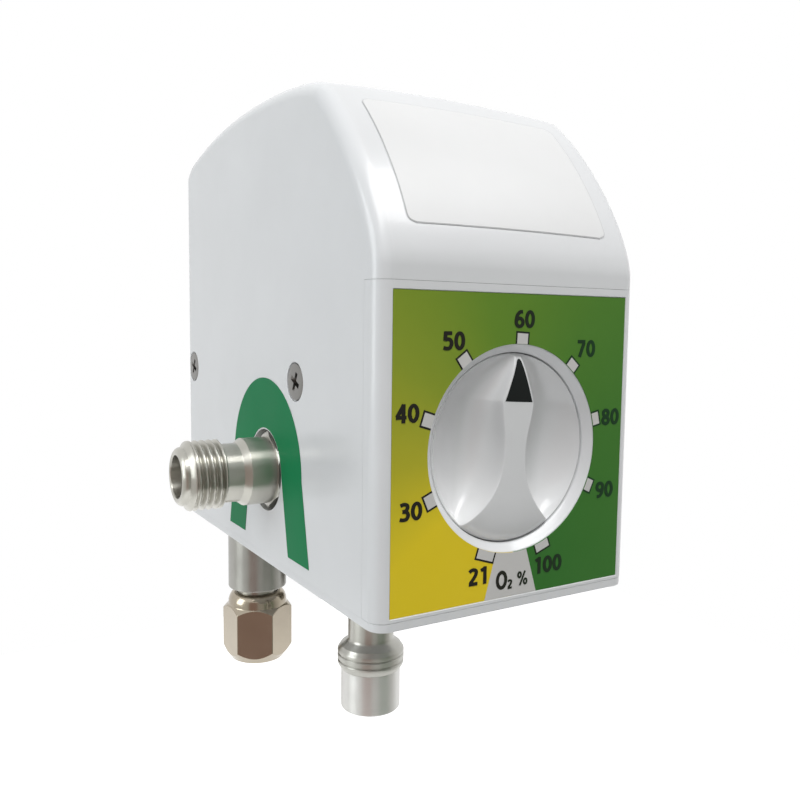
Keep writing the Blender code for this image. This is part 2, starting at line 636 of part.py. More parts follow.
turned("outlet_poppet", [(0, -16.0), (1.3, -16.0), (1.6, -15.6), (1.6, -5.7), (3.6, -5.7),
                         (3.6, -3.8), (1.5, -3.8), (1.5, 0.0), (0, 0.0)],
       STEEL, (-HALF_W, OUT_Y, OUT_Z), "X", SMALL)
OUT_RING = 12.0
add_object("outlet_spring", *coil_mesh("X", 2.6, 0.4, -3.5, OUT_RING - GAP, 3), SPRING,
           (-HALF_W, OUT_Y, OUT_Z))
turned("outlet_ring", [(2.0, OUT_RING), (3.8, OUT_RING), (3.8, 14.0), (2.0, 14.0)],
       BRASS, (-HALF_W, OUT_Y, OUT_Z), "X", INNER)

# Gas inlets: the same check valve and filter in both bodies.
STEM_TOP = 17.6
CHAMBER_R = 4.9
SEAT_Z = (-5.0, -3.0)
inlet_bore = [(3.0, SEAT_Z[0]), (3.0, SEAT_Z[1]), (CHAMBER_R, SEAT_Z[1]),
              (CHAMBER_R, STEM_TOP)]
stem = [(INLET_STEM_R, STEM_TOP), (INLET_STEM_R, BLOCK_FOOT), (SLEEVE_R, BLOCK_FOOT)]
oxygen_at = (-INLET_X, INLET_Y, 0)
air_at = (INLET_X, INLET_Y, 0)
turned("oxygen_adapter", inlet_bore + stem + [(SLEEVE_R, SLEEVE_Z + 0.4),
                                              (SLEEVE_R - 0.4, SLEEVE_Z),
                                              (CHAMBER_R, SLEEVE_Z), (CHAMBER_R, SEAT_Z[0])],
       NICKEL, oxygen_at)
turned("air_inlet", inlet_bore + stem + [(SLEEVE_R, -8.0), (AIR_THREAD_R, -9.0),
                                         (AIR_THREAD_R, AIR_BOTTOM + 3), (8.2, AIR_BOTTOM + 2),
                                         (8.2, AIR_BOTTOM + 0.5), (7.7, AIR_BOTTOM),
                                         (CHAMBER_R, AIR_BOTTOM), (CHAMBER_R, SEAT_Z[0])],
       NICKEL, air_at)
for label, at in (("oxygen", oxygen_at), ("air", air_at)):
    turned(f"{label}_filter", [(0, -11.5), (CHAMBER_R - GAP, -11.5), (CHAMBER_R - GAP, -9.5),
                               (0, -9.5)], BRONZE, at, segments=INNER)
    turned(f"{label}_check", [(0, -2.7), (4.3, -2.7), (4.3, -0.9), (1.4, -0.9), (1.4, 4.0),
                              (0, 4.0)], STEEL, at, segments=INNER)
    add_object(f"{label}_check_spring", *coil_mesh("Z", 2.9, 0.4, -0.6, 11.7, 3), SPRING, at)
    turned(f"{label}_ring", [(2.2, 12.0), (CHAMBER_R - GAP, 12.0), (CHAMBER_R - GAP, 14.0),
                             (2.2, 14.0)], BRASS, at, segments=INNER)
NIPPLE_R = 6.1
turned("oxygen_nipple", [(2.4, -13.0), (CHAMBER_R - GAP, -13.0), (CHAMBER_R - GAP, SLEEVE_Z - GAP),
                         (NIPPLE_NECK_R, SLEEVE_Z - GAP), (NIPPLE_NECK_R, -26.0),
                         (NIPPLE_R, -26.2), (NIPPLE_R, -28.5), (4.6, -31.5), (4.2, -35.5),
                         (3.8, -36.0), (2.4, -36.0)], NICKEL, oxygen_at)
CORNER_R = NUT_AF / math.sqrt(3)
SHOULDER_R = NUT_AF / 2 - 0.2
nut = add_object("oxygen_nut", *rod_mesh("Z", CORNER_R, NUT_BOTTOM, NUT_TOP, 6,
                                         math.radians(NUT_TURN)), NICKEL, oxygen_at)
guide(nut, "chamfers", turned_mesh(
    [(0, NUT_TOP + 1), (6.3, NUT_TOP + 1), (6.3, NUT_TOP), (7.2, NUT_TOP - 0.9),
     (SHOULDER_R, NUT_TOP - 2.2), (SHOULDER_R, NUT_TOP - 3.4), (CORNER_R + 0.05, NUT_TOP - 4.9),
     (CORNER_R + 0.05, NUT_BOTTOM + 3.0), (NUT_AF / 2 - 0.7, NUT_BOTTOM + 0.6),
     (7.1, NUT_BOTTOM), (0, NUT_BOTTOM - 0.001)], "Z", ROUND), oxygen_at,
    "INTERSECT")
guide(nut, "bore", turned_mesh(
    [(0, NUT_TOP + 2), (NIPPLE_NECK_R + RUN, NUT_TOP + 2), (NIPPLE_NECK_R + RUN, -25.9),
     (NUT_BORE_R, -25.9), (NUT_BORE_R, NUT_BOTTOM - 1), (0, NUT_BOTTOM - 1)], "Z", ROUND),
    oxygen_at)

# Alarm: a stem with a whistle in its cap.
alarm_at = (0, ALARM_Y, 0)
COLLAR_FOOT = ALARM_BOTTOM + 9.8
turned("alarm_body", [(1.6, 12.2), (4.2, 12.2), (4.2, BLOCK_FOOT), (ALARM_NECK_R, BLOCK_FOOT),
                      (ALARM_NECK_R, -23.7), (ALARM_COLLAR_R - 0.7, -25.1),
                      (ALARM_COLLAR_R, -26.1), (ALARM_COLLAR_R, -26.8),
                      (ALARM_COLLAR_R - 0.4, -27.1), (ALARM_COLLAR_R, -27.4),
                      (ALARM_COLLAR_R, -29.4), (7.3, COLLAR_FOOT), (5.4, COLLAR_FOOT),
                      (5.4, -34.0), (1.6, -34.0)], NICKEL, alarm_at)
turned("alarm_cap", [(5.7, COLLAR_FOOT - GAP), (ALARM_CAP_R, COLLAR_FOOT - GAP),
                     (ALARM_CAP_R, ALARM_BOTTOM + 0.5), (ALARM_CAP_R - 0.5, ALARM_BOTTOM),
                     (3.0, ALARM_BOTTOM), (3.0, ALARM_BOTTOM + 1.2), (5.7, ALARM_BOTTOM + 1.2)],
       NICKEL, alarm_at)
turned("alarm_reed", [(1.2, -34.4), (5.3, -34.4), (5.3, -38.3), (3.4, -38.3), (3.4, -35.6),
                      (1.2, -35.6)], BLACK, alarm_at, segments=SMALL)

# Balance module above the block.
bal_at = (0, BAL_Y, 0)
BAL_FOOT = BLOCK_Z[1] + GAP
FILM_Z = (BAL_FOOT + 8.3, BAL_FOOT + 9.1)
RIM_R = 14.2
PLAY = BAL_STROKE + 0.1
CHAMBER_FOOT = BAL_FOOT + 3.9
CAP_DECK = BAL_FOOT + 17.5
CAP_TOP = BAL_FOOT + 22.0
CAP_CEILING = CAP_TOP - 1.7
SPOOL_FLANGE = FILM_Z[1] + 1.6
bal_base = turned("balance_base", [(2.6, BAL_FOOT), (BAL_R, BAL_FOOT),
                                   (BAL_R, FILM_Z[1] + 0.1), (RIM_R + GAP, FILM_Z[1] + 0.1),
                                   (RIM_R + GAP, FILM_Z[0] - PLAY), (13.0, FILM_Z[0] - PLAY),
                                   (13.0, CHAMBER_FOOT), (2.6, CHAMBER_FOOT)], ALUMINIUM, bal_at, segments=SMALL)
bal_cap = turned("balance_cap", [(0, CAP_TOP), (6.0, CAP_TOP), (6.5, CAP_TOP - 0.5),
                                 (6.5, CAP_DECK), (BAL_R - 0.5, CAP_DECK),
                                 (BAL_R, CAP_DECK - 0.5), (BAL_R, FILM_Z[1] + PLAY),
                                 (13.0, FILM_Z[1] + PLAY), (13.0, CAP_DECK - 4.0),
                                 (4.0, CAP_DECK - 4.0), (4.0, CAP_CEILING), (0, CAP_CEILING)],
                 ALUMINIUM, bal_at, segments=SMALL)
turned("balance_diaphragm", [(2.2, FILM_Z[0]), (RIM_R, FILM_Z[0]), (RIM_R, FILM_Z[1]),
                             (2.2, FILM_Z[1])], RUBBER, bal_at, segments=SMALL)
turned("balance_spool", [(0, BAL_FOOT - 6.3), (3.6, BAL_FOOT - 6.3), (3.6, BAL_FOOT - 4.3),
                         (1.9, BAL_FOOT - 3.7), (1.9, FILM_Z[0] - 1.7), (6.0, FILM_Z[0] - 1.7),
                         (6.0, FILM_Z[0] - GAP), (1.9, FILM_Z[0] - GAP),
                         (1.9, FILM_Z[1] + GAP), (6.0, FILM_Z[1] + GAP), (6.0, SPOOL_FLANGE),
                         (1.9, SPOOL_FLANGE), (1.9, SPOOL_FLANGE + 2.5),
                         (0, SPOOL_FLANGE + 2.5)], STEEL, bal_at, segments=INNER)
add_object("balance_spring", *coil_mesh("Z", 3.0, 0.45, SPOOL_FLANGE + GAP, CAP_CEILING - GAP,
                                        3), SPRING, bal_at)
for number, (x, y) in enumerate(BAL_SCREWS):
    for thing in (bal_base, bal_cap):
        bore(thing, f"screw_{number}", (x, y, BAL_FOOT), "Z", 1.5, -1, 24, TINY)


def screw_mesh(axis, head, shank, sign, segments):
    """A screw whose head starts at height 0; head and shank are (radius, length)."""
    cone = min(head[1], head[0] - shank[0])
    profile = [(0, 0), (head[0], 0), (head[0], head[1] - cone), (shank[0], head[1]),
               (shank[0], shank[1]), (0, shank[1])]
    return turned_mesh([(r, sign * h) for r, h in profile], axis, segments)


def add_screws(label, axis, head, shank, sign, spots, segments=TINY):
    """Like screws; each spot is its head's place."""
    for number, spot in enumerate(spots, 1):
        add_object(f"{label}_{number}", *screw_mesh(axis, head, shank, sign, segments),
                   STEEL, spot)


SIDE_HEAD = (SIDE_HEAD_R, 1.6)
SIDE_SHANK = (1.7, 12.4)
add_screws("cover_screw_left", "X", SIDE_HEAD, SIDE_SHANK, 1,
           [(-HALF_W, y, z) for y, z in SIDE_SCREWS], INNER)
add_screws("cover_screw_right", "X", SIDE_HEAD, SIDE_SHANK, -1,
           [(HALF_W, y, z) for y, z in SIDE_SCREWS], INNER)
add_screws("panel_screw", "Y", (2.4, 1.5), (1.2, 28.0), 1,
           [(x, 0.9, z) for x in (-POST_X, POST_X) for z in POST_Z])
add_screws("base_screw", "Z", (2.9, 1.3), (1.4, 10.0), 1,
           [(x, y, 0.1) for x, y in BASE_SCREWS], INNER)
add_screws("balance_screw", "Z", (2.4, 1.5), (1.2, CAP_DECK + 1.8 - BLOCK_Z[1] + 5.7), -1,
           [(x, y, CAP_DECK + 1.8) for x, y in BAL_SCREWS])

# Slide mount: a male dovetail whose boss meets the block through the cover.
mount_plan = [(-SLIDE_NECK_HALF, GAP), (SLIDE_NECK_HALF, GAP), (SLIDE_NECK_HALF, 3.6),
              (SLIDE_HALF, 8.8), (SLIDE_HALF, SLIDE_T + GAP), (-SLIDE_HALF, SLIDE_T + GAP),
              (-SLIDE_HALF, 8.8), (-SLIDE_NECK_HALF, 3.6)]
slide = prism("slide_mount", mount_plan, SLIDE_Z - SLIDE_H / 2, SLIDE_Z + SLIDE_H / 2,
              ALUMINIUM, (0, BODY_D, 0))
guide(slide, "boss", prism_mesh(rectangle(-9.7, 9.7, SLIDE_Z - 18.7, SLIDE_Z + 5.7),
                                BLOCK_Y[1] + GAP - BODY_D, 1, "Y"), (0, BODY_D, 0), "UNION")
for number, (x, z) in enumerate(SLIDE_SCREWS):
    seat = turned_mesh([(0, 1), (3.9, 1), (3.9, -2.4), (2.2, -4.1), (2.2, -30), (0, -30)],
                       "Y", SMALL)
    guide(slide, f"screw_{number}", seat, (x, ORIGIN_Y, z))
add_screws("slide_screw", "Y", (3.6, 2.0), (1.5, 20.0), -1,
           [(x, ORIGIN_Y - 2.2, z) for x, z in SLIDE_SCREWS], INNER)
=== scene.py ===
"""Looks of the air-oxygen blender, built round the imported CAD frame.

Lengths in the tables and helpers are millimetres in the body's own frame: x to the
right seen from the front, y back from the front face, z up from the base plate's foot.
at() turns such a point into the row frame in metres.
"""
import json
import math

import bmesh
import bpy
from mathutils import Matrix, Vector


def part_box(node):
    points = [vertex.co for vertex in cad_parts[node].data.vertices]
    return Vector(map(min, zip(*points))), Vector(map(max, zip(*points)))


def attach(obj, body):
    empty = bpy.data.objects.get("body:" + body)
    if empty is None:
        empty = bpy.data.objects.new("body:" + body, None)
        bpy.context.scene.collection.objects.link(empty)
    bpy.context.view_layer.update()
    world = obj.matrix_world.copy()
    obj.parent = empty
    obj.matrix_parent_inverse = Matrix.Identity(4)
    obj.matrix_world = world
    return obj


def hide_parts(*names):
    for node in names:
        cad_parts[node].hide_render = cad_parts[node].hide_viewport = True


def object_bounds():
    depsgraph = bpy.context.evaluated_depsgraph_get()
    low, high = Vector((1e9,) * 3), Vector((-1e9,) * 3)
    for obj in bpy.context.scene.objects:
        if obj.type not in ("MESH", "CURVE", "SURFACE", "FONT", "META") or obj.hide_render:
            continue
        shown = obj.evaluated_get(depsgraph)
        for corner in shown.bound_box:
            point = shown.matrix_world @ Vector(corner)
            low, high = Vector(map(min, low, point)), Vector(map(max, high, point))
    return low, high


MM = 0.001

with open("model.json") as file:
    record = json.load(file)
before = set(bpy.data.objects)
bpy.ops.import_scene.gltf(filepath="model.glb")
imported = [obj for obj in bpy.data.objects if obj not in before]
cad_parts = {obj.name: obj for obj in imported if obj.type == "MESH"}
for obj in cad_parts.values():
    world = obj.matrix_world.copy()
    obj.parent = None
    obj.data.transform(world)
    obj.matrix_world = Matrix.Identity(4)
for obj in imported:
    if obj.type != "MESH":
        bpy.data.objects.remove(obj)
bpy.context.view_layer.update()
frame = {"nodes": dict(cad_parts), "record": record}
NODES = frame["nodes"]
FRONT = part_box("front_panel")[0][1]
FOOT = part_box("base_plate")[0][2]

# Case
BODY_D = 105.4
HALF_W = 28.6
WALL = 2.2
EDGE_R = 3.0
CROWN = 1.0
BASE_T = 1.5
SHELL_Z = 1.53
SEAM_Z = 58.2
SEAM_GAP = 0.05
PANEL_DEPTH = 4.6
JOINT = 0.05
NOSE = (0.0, 60.5)
SHOULDER = (22.6, 94.3)
SHOULDER_SLOPE = 38.0
RIDGE = (58.0, 98.6)
HEEL = (99.0, 94.0)
HEEL_SLOPE = -13.0
BACK_Z = 88.0

# Dial
DIAL_Z = 29.1
DIAL_AT = (0, 0, DIAL_Z)
DIAL_ANGLE = 3.4
WELL_R = 17.24
WELL_MOUTH_R = 18.75
WELL_MOUTH = 1.7
WELL_FLOOR = 12.8
KNOB_R = 17.1
KNOB_FACE_R = 16.85
KNOB_BACK = 12.0
RIM_Y = 1.9
GRIP_Y = 0.2
GRIP_FLAT_R = 9.0
TIP_Z = 16.2
TIP_HALF = 0.6
POINTER_Z = 8.45
POINTER_HALF = 3.3
WAIST_HALF = 2.25
CORNER_Z = -13.72
SCOOP_DEPTH = 6.2

# Outlet and inlets
OUT_Y = 48.5
OUT_Z = 20.0
OUT_HOLE_R = 8.7
INLET_X = 13.6
INLET_Y = 93.0
ALARM_Y = 53.2
OUTLET_AT = (-HALF_W, OUT_Y, OUT_Z)
OXYGEN_AT = (-INLET_X, INLET_Y, 0)
AIR_AT = (INLET_X, INLET_Y, 0)
ALARM_AT = (0, ALARM_Y, 0)
SIDE_SCREWS = [(32.8, 39.7), (99.4, 39.5)]
SIDE_HEAD_R = 3.65


def at(x, y, z):
    """A point of the body's own frame in the row frame."""
    return Vector((x * MM, y * MM + FRONT, z * MM + FOOT))


def placed(name, data):
    """A new object in the scene."""
    thing = bpy.data.objects.new(name, data)
    bpy.context.scene.collection.objects.link(thing)
    return thing


# Materials
def feed(tree, made, **values):
    """Link or set a node's sockets and settings; an underscore stands for a space."""
    for key, value in values.items():
        socket = key.replace("_", " ")
        if isinstance(value, bpy.types.NodeSocket):
            tree.links.new(value, made.inputs[socket])
        elif socket in made.inputs:
            made.inputs[socket].default_value = value
        else:
            setattr(made, key, value)
    return made


def node(tree, kind, **values):
    return feed(tree, tree.nodes.new(kind), **values)


def new_material(name, colour, roughness, **sockets):
    """A material with its node tree and its shader."""
    material = bpy.data.materials.new(name)
    material.use_nodes = True
    tree = material.node_tree
    shader = feed(tree, tree.nodes["Principled BSDF"], Base_Color=(*colour, 1.0),
                  Roughness=roughness, **sockets)
    material.diffuse_color = (*colour, 1.0)
    return material, tree, shader


def blank_material(name):
    """A material with nothing but its output."""
    material = bpy.data.materials.new(name)
    material.use_nodes = True
    tree = material.node_tree
    tree.nodes.clear()
    return material, tree, node(tree, "ShaderNodeOutputMaterial")


def own_place(tree):
    """A point's place in its object's own frame."""
    return node(tree, "ShaderNodeTexCoord").outputs["Object"]


def own_axes(tree):
    """The X, Y and Z of a point in its object's own frame."""
    return node(tree, "ShaderNodeSeparateXYZ", Vector=own_place(tree)).outputs


def noise(tree, scale, detail=3.0, rough=0.5):
    return node(tree, "ShaderNodeTexNoise", Vector=own_place(tree), Scale=scale,
                Detail=detail, Roughness=rough).outputs["Fac"]


def ramp(tree, fac, stops):
    """Colours along a value."""
    made = node(tree, "ShaderNodeValToRGB", Fac=fac)
    elements = made.color_ramp.elements
    while len(elements) < len(stops):
        elements.new(0.5)
    for element, (place, colour) in zip(elements, stops):
        element.position = place
        element.color = (*colour, 1.0)
    return made.outputs["Color"]


def spread(tree, fac, low, high, from_low=0.3, from_high=0.7):
    """A value carried over from one range to another."""
    return node(tree, "ShaderNodeMapRange", Value=fac, From_Min=from_low, From_Max=from_high,
                To_Min=low, To_Max=high).outputs["Result"]


def bump(tree, height, strength, distance):
    return node(tree, "ShaderNodeBump", Height=height, Strength=strength,
                Distance=distance).outputs["Normal"]


FILM_GRAIN = 1800.0


def film_grain(tree):
    """The fine grain of a printed film."""
    return bump(tree, noise(tree, FILM_GRAIN, 2.0), 0.12, 0.00002)


def tone(colour, factor):
    return tuple(min(1.0, channel * factor) for channel in colour)


def plastic(name, colour, roughness, grain=2600.0, depth=0.00002, vary=0.02, coat=0.0,
            shine=0.5):
    """Moulded plastic or film: a fine grain, slight mottling and uneven gloss."""
    material, tree, shader = new_material(name, colour, roughness, Specular_IOR_Level=shine,
                                          Coat_Weight=coat, Coat_Roughness=0.06)
    mottle = [(0.3, tone(colour, 1 - vary)), (0.7, tone(colour, 1 + vary))]
    feed(tree, shader, Base_Color=ramp(tree, noise(tree, 45.0, 4.0), mottle),
         Roughness=spread(tree, noise(tree, 60.0), roughness * 0.94, roughness * 1.08),
         Normal=bump(tree, noise(tree, grain, 2.0), 0.06, depth))
    return material


def metal(name, colour, roughness, axis=None, marks=9000.0, depth=0.000006):
    """Metal with tool marks in rings about an axis, or an even satin without one."""
    material, tree, shader = new_material(name, colour, roughness, Metallic=1.0)
    if axis:
        relief = node(tree, "ShaderNodeTexNoise", noise_dimensions="1D", W=own_axes(tree)[axis],
                      Scale=marks, Detail=4.0).outputs["Fac"]
        around = node(tree, "ShaderNodeTangent", direction_type="RADIAL", axis=axis)
        feed(tree, shader, Tangent=around.outputs[0], Anisotropic=0.8,
             Anisotropic_Rotation=0.25)
    else:
        relief = noise(tree, marks / 4)
    cloud = noise(tree, 160.0, 5.0, 0.6)
    mottle = [(0.25, tone(colour, 0.93)), (0.75, tone(colour, 1.04))]
    feed(tree, shader, Base_Color=ramp(tree, cloud, mottle),
         Roughness=spread(tree, cloud, roughness * 0.88, roughness * 1.15),
         Normal=bump(tree, relief, 0.25, depth))
    return material


NICKEL_RGB = (0.485, 0.475, 0.43)
WHITE = plastic("moulded_white", (0.80, 0.81, 0.82), 0.24, coat=0.2)
KNOB_WHITE = plastic("knob_white", (0.78, 0.785, 0.79), 0.2, coat=0.35)
FILM = plastic("label_white", (0.835, 0.838, 0.836), 0.38, FILM_GRAIN, shine=0.3)
TICK_WHITE = plastic("tick_white", (0.66, 0.65, 0.63), 0.34, FILM_GRAIN, shine=0.3)
OUTLET_GREEN = plastic("label_green", (0.009, 0.215, 0.078), 0.45, FILM_GRAIN, shine=0.06)
# Grey of the rim round the top label: painted shade along the film's edge.
FILM_EDGE_SHADE = plastic("painted_film_edge_shade", (0.60, 0.605, 0.61), 0.36, shine=0.2)
BLACK = plastic("pointer_black", (0.010, 0.012, 0.012), 0.45, 900.0, vary=0.2, shine=0.15)
RUBBER = plastic("rubber_black", (0.02, 0.02, 0.02), 0.65, 1200.0, vary=0.2)
NICKEL_X = metal("nickel_turned_x", NICKEL_RGB, 0.31, "X")
NICKEL_Z = metal("nickel_turned_z", NICKEL_RGB, 0.32, "Z")
# This nickel is tinted brown: partly the plating's own warm tone, partly a painted reflection of a
# brown surround.
NICKEL = metal("nickel_warm_painted_reflection", (0.41, 0.36, 0.285), 0.17)
SATIN = metal("nickel_satin", (0.62, 0.615, 0.595), 0.38, "Z")
# Darker copies of the satin nickel: painted shade on the oxygen sleeve, the outlet's hexagon and
# the alarm fitting.
SATIN_SHADED = metal("nickel_painted_shade", (0.36, 0.355, 0.33), 0.34, "Z")
SATIN_HALF_SHADED = metal("nickel_painted_half_shade", (0.46, 0.455, 0.42), 0.34, "Z")
STEEL = metal("steel_satin", (0.62, 0.62, 0.62), 0.26)
# Steel made darker than it is: painted shade on the side screws, for a darker surround than the
# world they reflect.
SCREW_STEEL = metal("steel_painted_shade", (0.21, 0.205, 0.195), 0.3)
ALUMINIUM = metal("aluminium_anodised", (0.62, 0.63, 0.65), 0.36)
BRASS = metal("brass_turned", (0.72, 0.53, 0.24), 0.28)
BRONZE = metal("bronze_sintered", (0.46, 0.30, 0.14), 0.8, marks=14000.0, depth=0.0002)


def dial_field():
    """The scale's film: its colour runs round the dial from yellow to deep green."""
    material, tree, shader = new_material("label_dial", (0.3, 0.4, 0.1), 0.34,
                                          Specular_IOR_Level=0.25)
    axes = own_axes(tree)
    upright = node(tree, "ShaderNodeCombineXYZ", X=axes["Z"], Y=axes["X"])
    turn = node(tree, "ShaderNodeTexGradient", gradient_type="RADIAL", Vector=upright.outputs[0])
    stops = [(0.0, (0.88, 0.66, 0.018)), (0.15, (0.85, 0.655, 0.02)),
             (0.24, (0.49, 0.46, 0.027)), (0.34, (0.285, 0.36, 0.03)),
             (0.46, (0.145, 0.28, 0.027)), (0.60, (0.085, 0.23, 0.027)),
             (0.74, (0.055, 0.200, 0.026)), (1.0, (0.036, 0.180, 0.028))]
    feed(tree, shader, Base_Color=ramp(tree, turn.outputs["Fac"], stops),
         Roughness=spread(tree, noise(tree, 130.0, 5.0), 0.29, 0.40),
         Normal=film_grain(tree))
    return material


def number_ink():
    """Ink of the scale's numbers, greener on the green side."""
    material, tree, shader = new_material("print_scale", (0.02, 0.02, 0.015), 0.36,
                                          Specular_IOR_Level=0.15)
    across = spread(tree, own_axes(tree)["X"], 0.0, 1.0, -0.004, 0.018)
    stops = [(0.0, (0.022, 0.020, 0.016)), (1.0, (0.014, 0.050, 0.018))]
    feed(tree, shader, Base_Color=ramp(tree, across, stops), Normal=film_grain(tree))
    return material


DIAL_FIELD = dial_field()
INK = number_ink()

SLOT_LOOKS = {"white_plastic": WHITE, "printed_film": FILM, "green_film": OUTLET_GREEN,
              "dial_film": DIAL_FIELD, "black_plastic": BLACK, "nickel_plate": NICKEL,
              "stainless_steel": STEEL, "anodised_aluminium": ALUMINIUM, "brass": BRASS,
              "sintered_bronze": BRONZE, "black_rubber": RUBBER, "spring_steel": STEEL}
for part in frame["record"]["subparts"]:
    for holder in NODES[part["node"]].material_slots:
        holder.material = SLOT_LOOKS[part["material_slot"]]


# Mesh helpers
def add(name, verts, faces, material, where=(0, 0, 0), smooth=30):
    mesh = bpy.data.meshes.new(name)
    mesh.from_pydata([Vector(v) * MM for v in verts], [], faces)
    shell = bmesh.new()
    shell.from_mesh(mesh)
    bmesh.ops.recalc_face_normals(shell, faces=shell.faces)
    shell.to_mesh(mesh)
    shell.free()
    if smooth:
        mesh.shade_smooth()
        mesh.set_sharp_from_angle(angle=math.radians(smooth))
    thing = placed(name, mesh)
    thing.location = at(*where)
    if material:
        mesh.materials.append(material)
    return thing


def stands_for(thing, slot, *nodes, body="housing"):
    """The piece rides on a body and may replace nodes; the slot is not used."""
    bpy.context.view_layer.update()
    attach(thing, body)
    if nodes:
        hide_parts(*nodes)
    return thing


def even_normals(thing):
    """Let the large faces set the shading, so that cylinders and flats stay true."""
    keep = thing.modifiers.new("normals", "WEIGHTED_NORMAL")
    keep.keep_sharp = True
    keep.weight = 80
    return thing


def soften(thing, width, segments=2, angle=40, skip=None):
    """Round the sharp edges, except those whose ends skip() names."""
    step = thing.modifiers.new("edge", "BEVEL")
    step.width = width * MM
    step.segments = segments
    step.limit_method = "WEIGHT" if skip else "ANGLE"
    step.angle_limit = math.radians(angle)
    if skip:
        shell = bmesh.new()
        shell.from_mesh(thing.data)
        layer = shell.edges.layers.float.new("bevel_weight_edge")
        for edge in shell.edges:
            sharp = edge.is_manifold and edge.calc_face_angle() > math.radians(angle)
            if sharp and not all(skip(vert.co / MM) for vert in edge.verts):
                edge[layer] = 1.0
        shell.to_mesh(thing.data)
        shell.free()
    step.harden_normals = False
    step.miter_outer = "MITER_ARC"
    return even_normals(thing)


def bake(thing):
    """Turn the modifiers' result into the piece's own mesh."""
    bpy.context.view_layer.update()
    solved = thing.evaluated_get(bpy.context.evaluated_depsgraph_get())
    mesh = bpy.data.meshes.new_from_object(solved)
    thing.modifiers.clear()
    thing.data = mesh
    mesh.shade_smooth()
    mesh.set_sharp_from_angle(angle=math.radians(30))
    return thing


def cut(thing, tools):
    """Take the tools away from the piece, join them to it or keep what they share."""
    for body, operation in tools:
        step = thing.modifiers.new(body.name, "BOOLEAN")
        step.operation = operation
        step.solver = "EXACT"
        step.object = body
    bake(thing)
    for body, operation in tools:
        bpy.data.objects.remove(body, do_unlink=True)
    return thing


def spun(axis, radius, height, angle):
    """The point at a radius, a height and an angle about the axis."""
    a = radius * math.cos(angle)
    b = radius * math.sin(angle)
    return {"X": (height, a, b), "Y": (a, height, b), "Z": (a, b, height)}[axis]


def revolved(profile, axis, segments, reach):
    """An outline turned about the axis, where reach() gives the radius at each corner."""
    verts, rings, faces = [], [], []
    for point in profile:
        count = 1 if point[0] == 0 else segments
        rings.append(list(range(len(verts), len(verts) + count)))
        for k in range(count):
            verts.append(spun(axis, reach(point, k), point[1], k * math.tau / segments))
    for one, two in zip(rings, rings[1:] + rings[:1]):
        for k in range(segments):
            j = (k + 1) % segments
            corners = list(dict.fromkeys([one[k % len(one)], one[j % len(one)],
                                          two[j % len(two)], two[k % len(two)]]))
            if len(corners) > 2:
                faces.append(corners)
    return verts, faces


def turned_mesh(profile, axis, segments=96):
    """A closed (radius, height) outline turned about the axis."""
    return revolved(profile, axis, segments, lambda point, k: point[0])


def threaded_mesh(profile, thread, axis, segments=96):
    """Like turned_mesh, with a helical thread between two heights of the outline.

    thread is (start, end, crest, root, pitch); the outline runs along the thread
    at the crest radius from start to end.
    """
    start, end, crest, root, pitch = thread
    steps = int(abs(end - start) / pitch * 14)
    outline = []
    for radius, height in profile:
        outline.append((radius, height, False))
        if (radius, height) == (crest, start):
            outline += [(crest, start + (end - start) * k / steps, True)
                        for k in range(1, steps)]

    def reach(point, k):
        radius, height, on_thread = point
        if not on_thread:
            return radius
        phase = (abs(height - start) / pitch - k / segments) % 1.0
        groove = max(0.0, 1 - abs(2 * phase - 1) * 1.18)
        fade = min(1.0, abs(height - start) / 0.5, abs(end - height) / 0.5)
        return crest - (crest - root) * min(groove * 1.12, 1.0) * fade

    return revolved(outline, axis, segments, reach)


def wall_faces(count, layers):
    """Faces between closed outlines of count corners, and the two that close the ends."""
    faces = [list(range(count)), list(range((layers - 1) * count, layers * count))]
    for one in range(0, (layers - 1) * count, count):
        two = one + count
        for k in range(count):
            j = (k + 1) % count
            faces.append([one + k, one + j, two + j, two + k])
    return faces


def prism_mesh(outline, low, high, axis="Z"):
    """An outline drawn out along the axis from one height to another."""
    order = {"X": lambda p, h: (h, p[0], p[1]),
             "Y": lambda p, h: (p[0], h, p[1]),
             "Z": lambda p, h: (p[0], p[1], h)}[axis]
    return [order(p, h) for h in (low, high) for p in outline], wall_faces(len(outline), 2)


def grid_faces(rows, columns, first=0):
    """Faces of a grid of corners that are numbered row by row."""
    wide = columns + 1
    starts = [first + row * wide + column for row in range(rows) for column in range(columns)]
    return [[k, k + 1, k + wide + 1, k + wide] for k in starts]


def plate_faces(rows, columns):
    """Faces of a thin plate whose two layers are grids, one after the other."""
    wide = columns + 1
    count = (rows + 1) * wide
    faces = grid_faces(rows, columns) + grid_faces(rows, columns, count)
    border = (list(range(wide)) + [row * wide + columns for row in range(1, rows + 1)]
              + [rows * wide + k for k in range(columns - 1, -1, -1)]
              + [row * wide for row in range(rows - 1, 0, -1)])
    for a, b in zip(border, border[1:] + border[:1]):
        faces.append([a, b, count + b, count + a])
    return faces


def rectangle(x0, x1, y0, y1):
    return [(x0, y0), (x1, y0), (x1, y1), (x0, y1)]


def arc(cx, cy, radius, start, end, steps):
    angles = [math.radians(start + (end - start) * k / steps) for k in range(steps + 1)]
    return [(cx + radius * math.cos(a), cy + radius * math.sin(a)) for a in angles]


def hexagon(radius, turn=0.0):
    return arc(0, 0, radius, turn, turn + 360, 6)[:6]


def rounded(x0, x1, y0, y1, radius, steps):
    """A rectangle with round corners."""
    return (arc(x1 - radius, y1 - radius, radius, 0, 90, steps)
            + arc(x0 + radius, y1 - radius, radius, 90, 180, steps)
            + arc(x0 + radius, y0 + radius, radius, 180, 270, steps)
            + arc(x1 - radius, y0 + radius, radius, 270, 360, steps))


def tool(mesh_data, where=(0, 0, 0), operation="DIFFERENCE"):
    """A body for cut(), with what it does there."""
    return add("tool", *mesh_data, None, where, smooth=0), operation


def disc_tool(where, axis, radius, low, high, segments=96, operation="DIFFERENCE"):
    return tool(turned_mesh([(0, low), (radius, low), (radius, high), (0, high)], axis,
                            segments), where, operation)


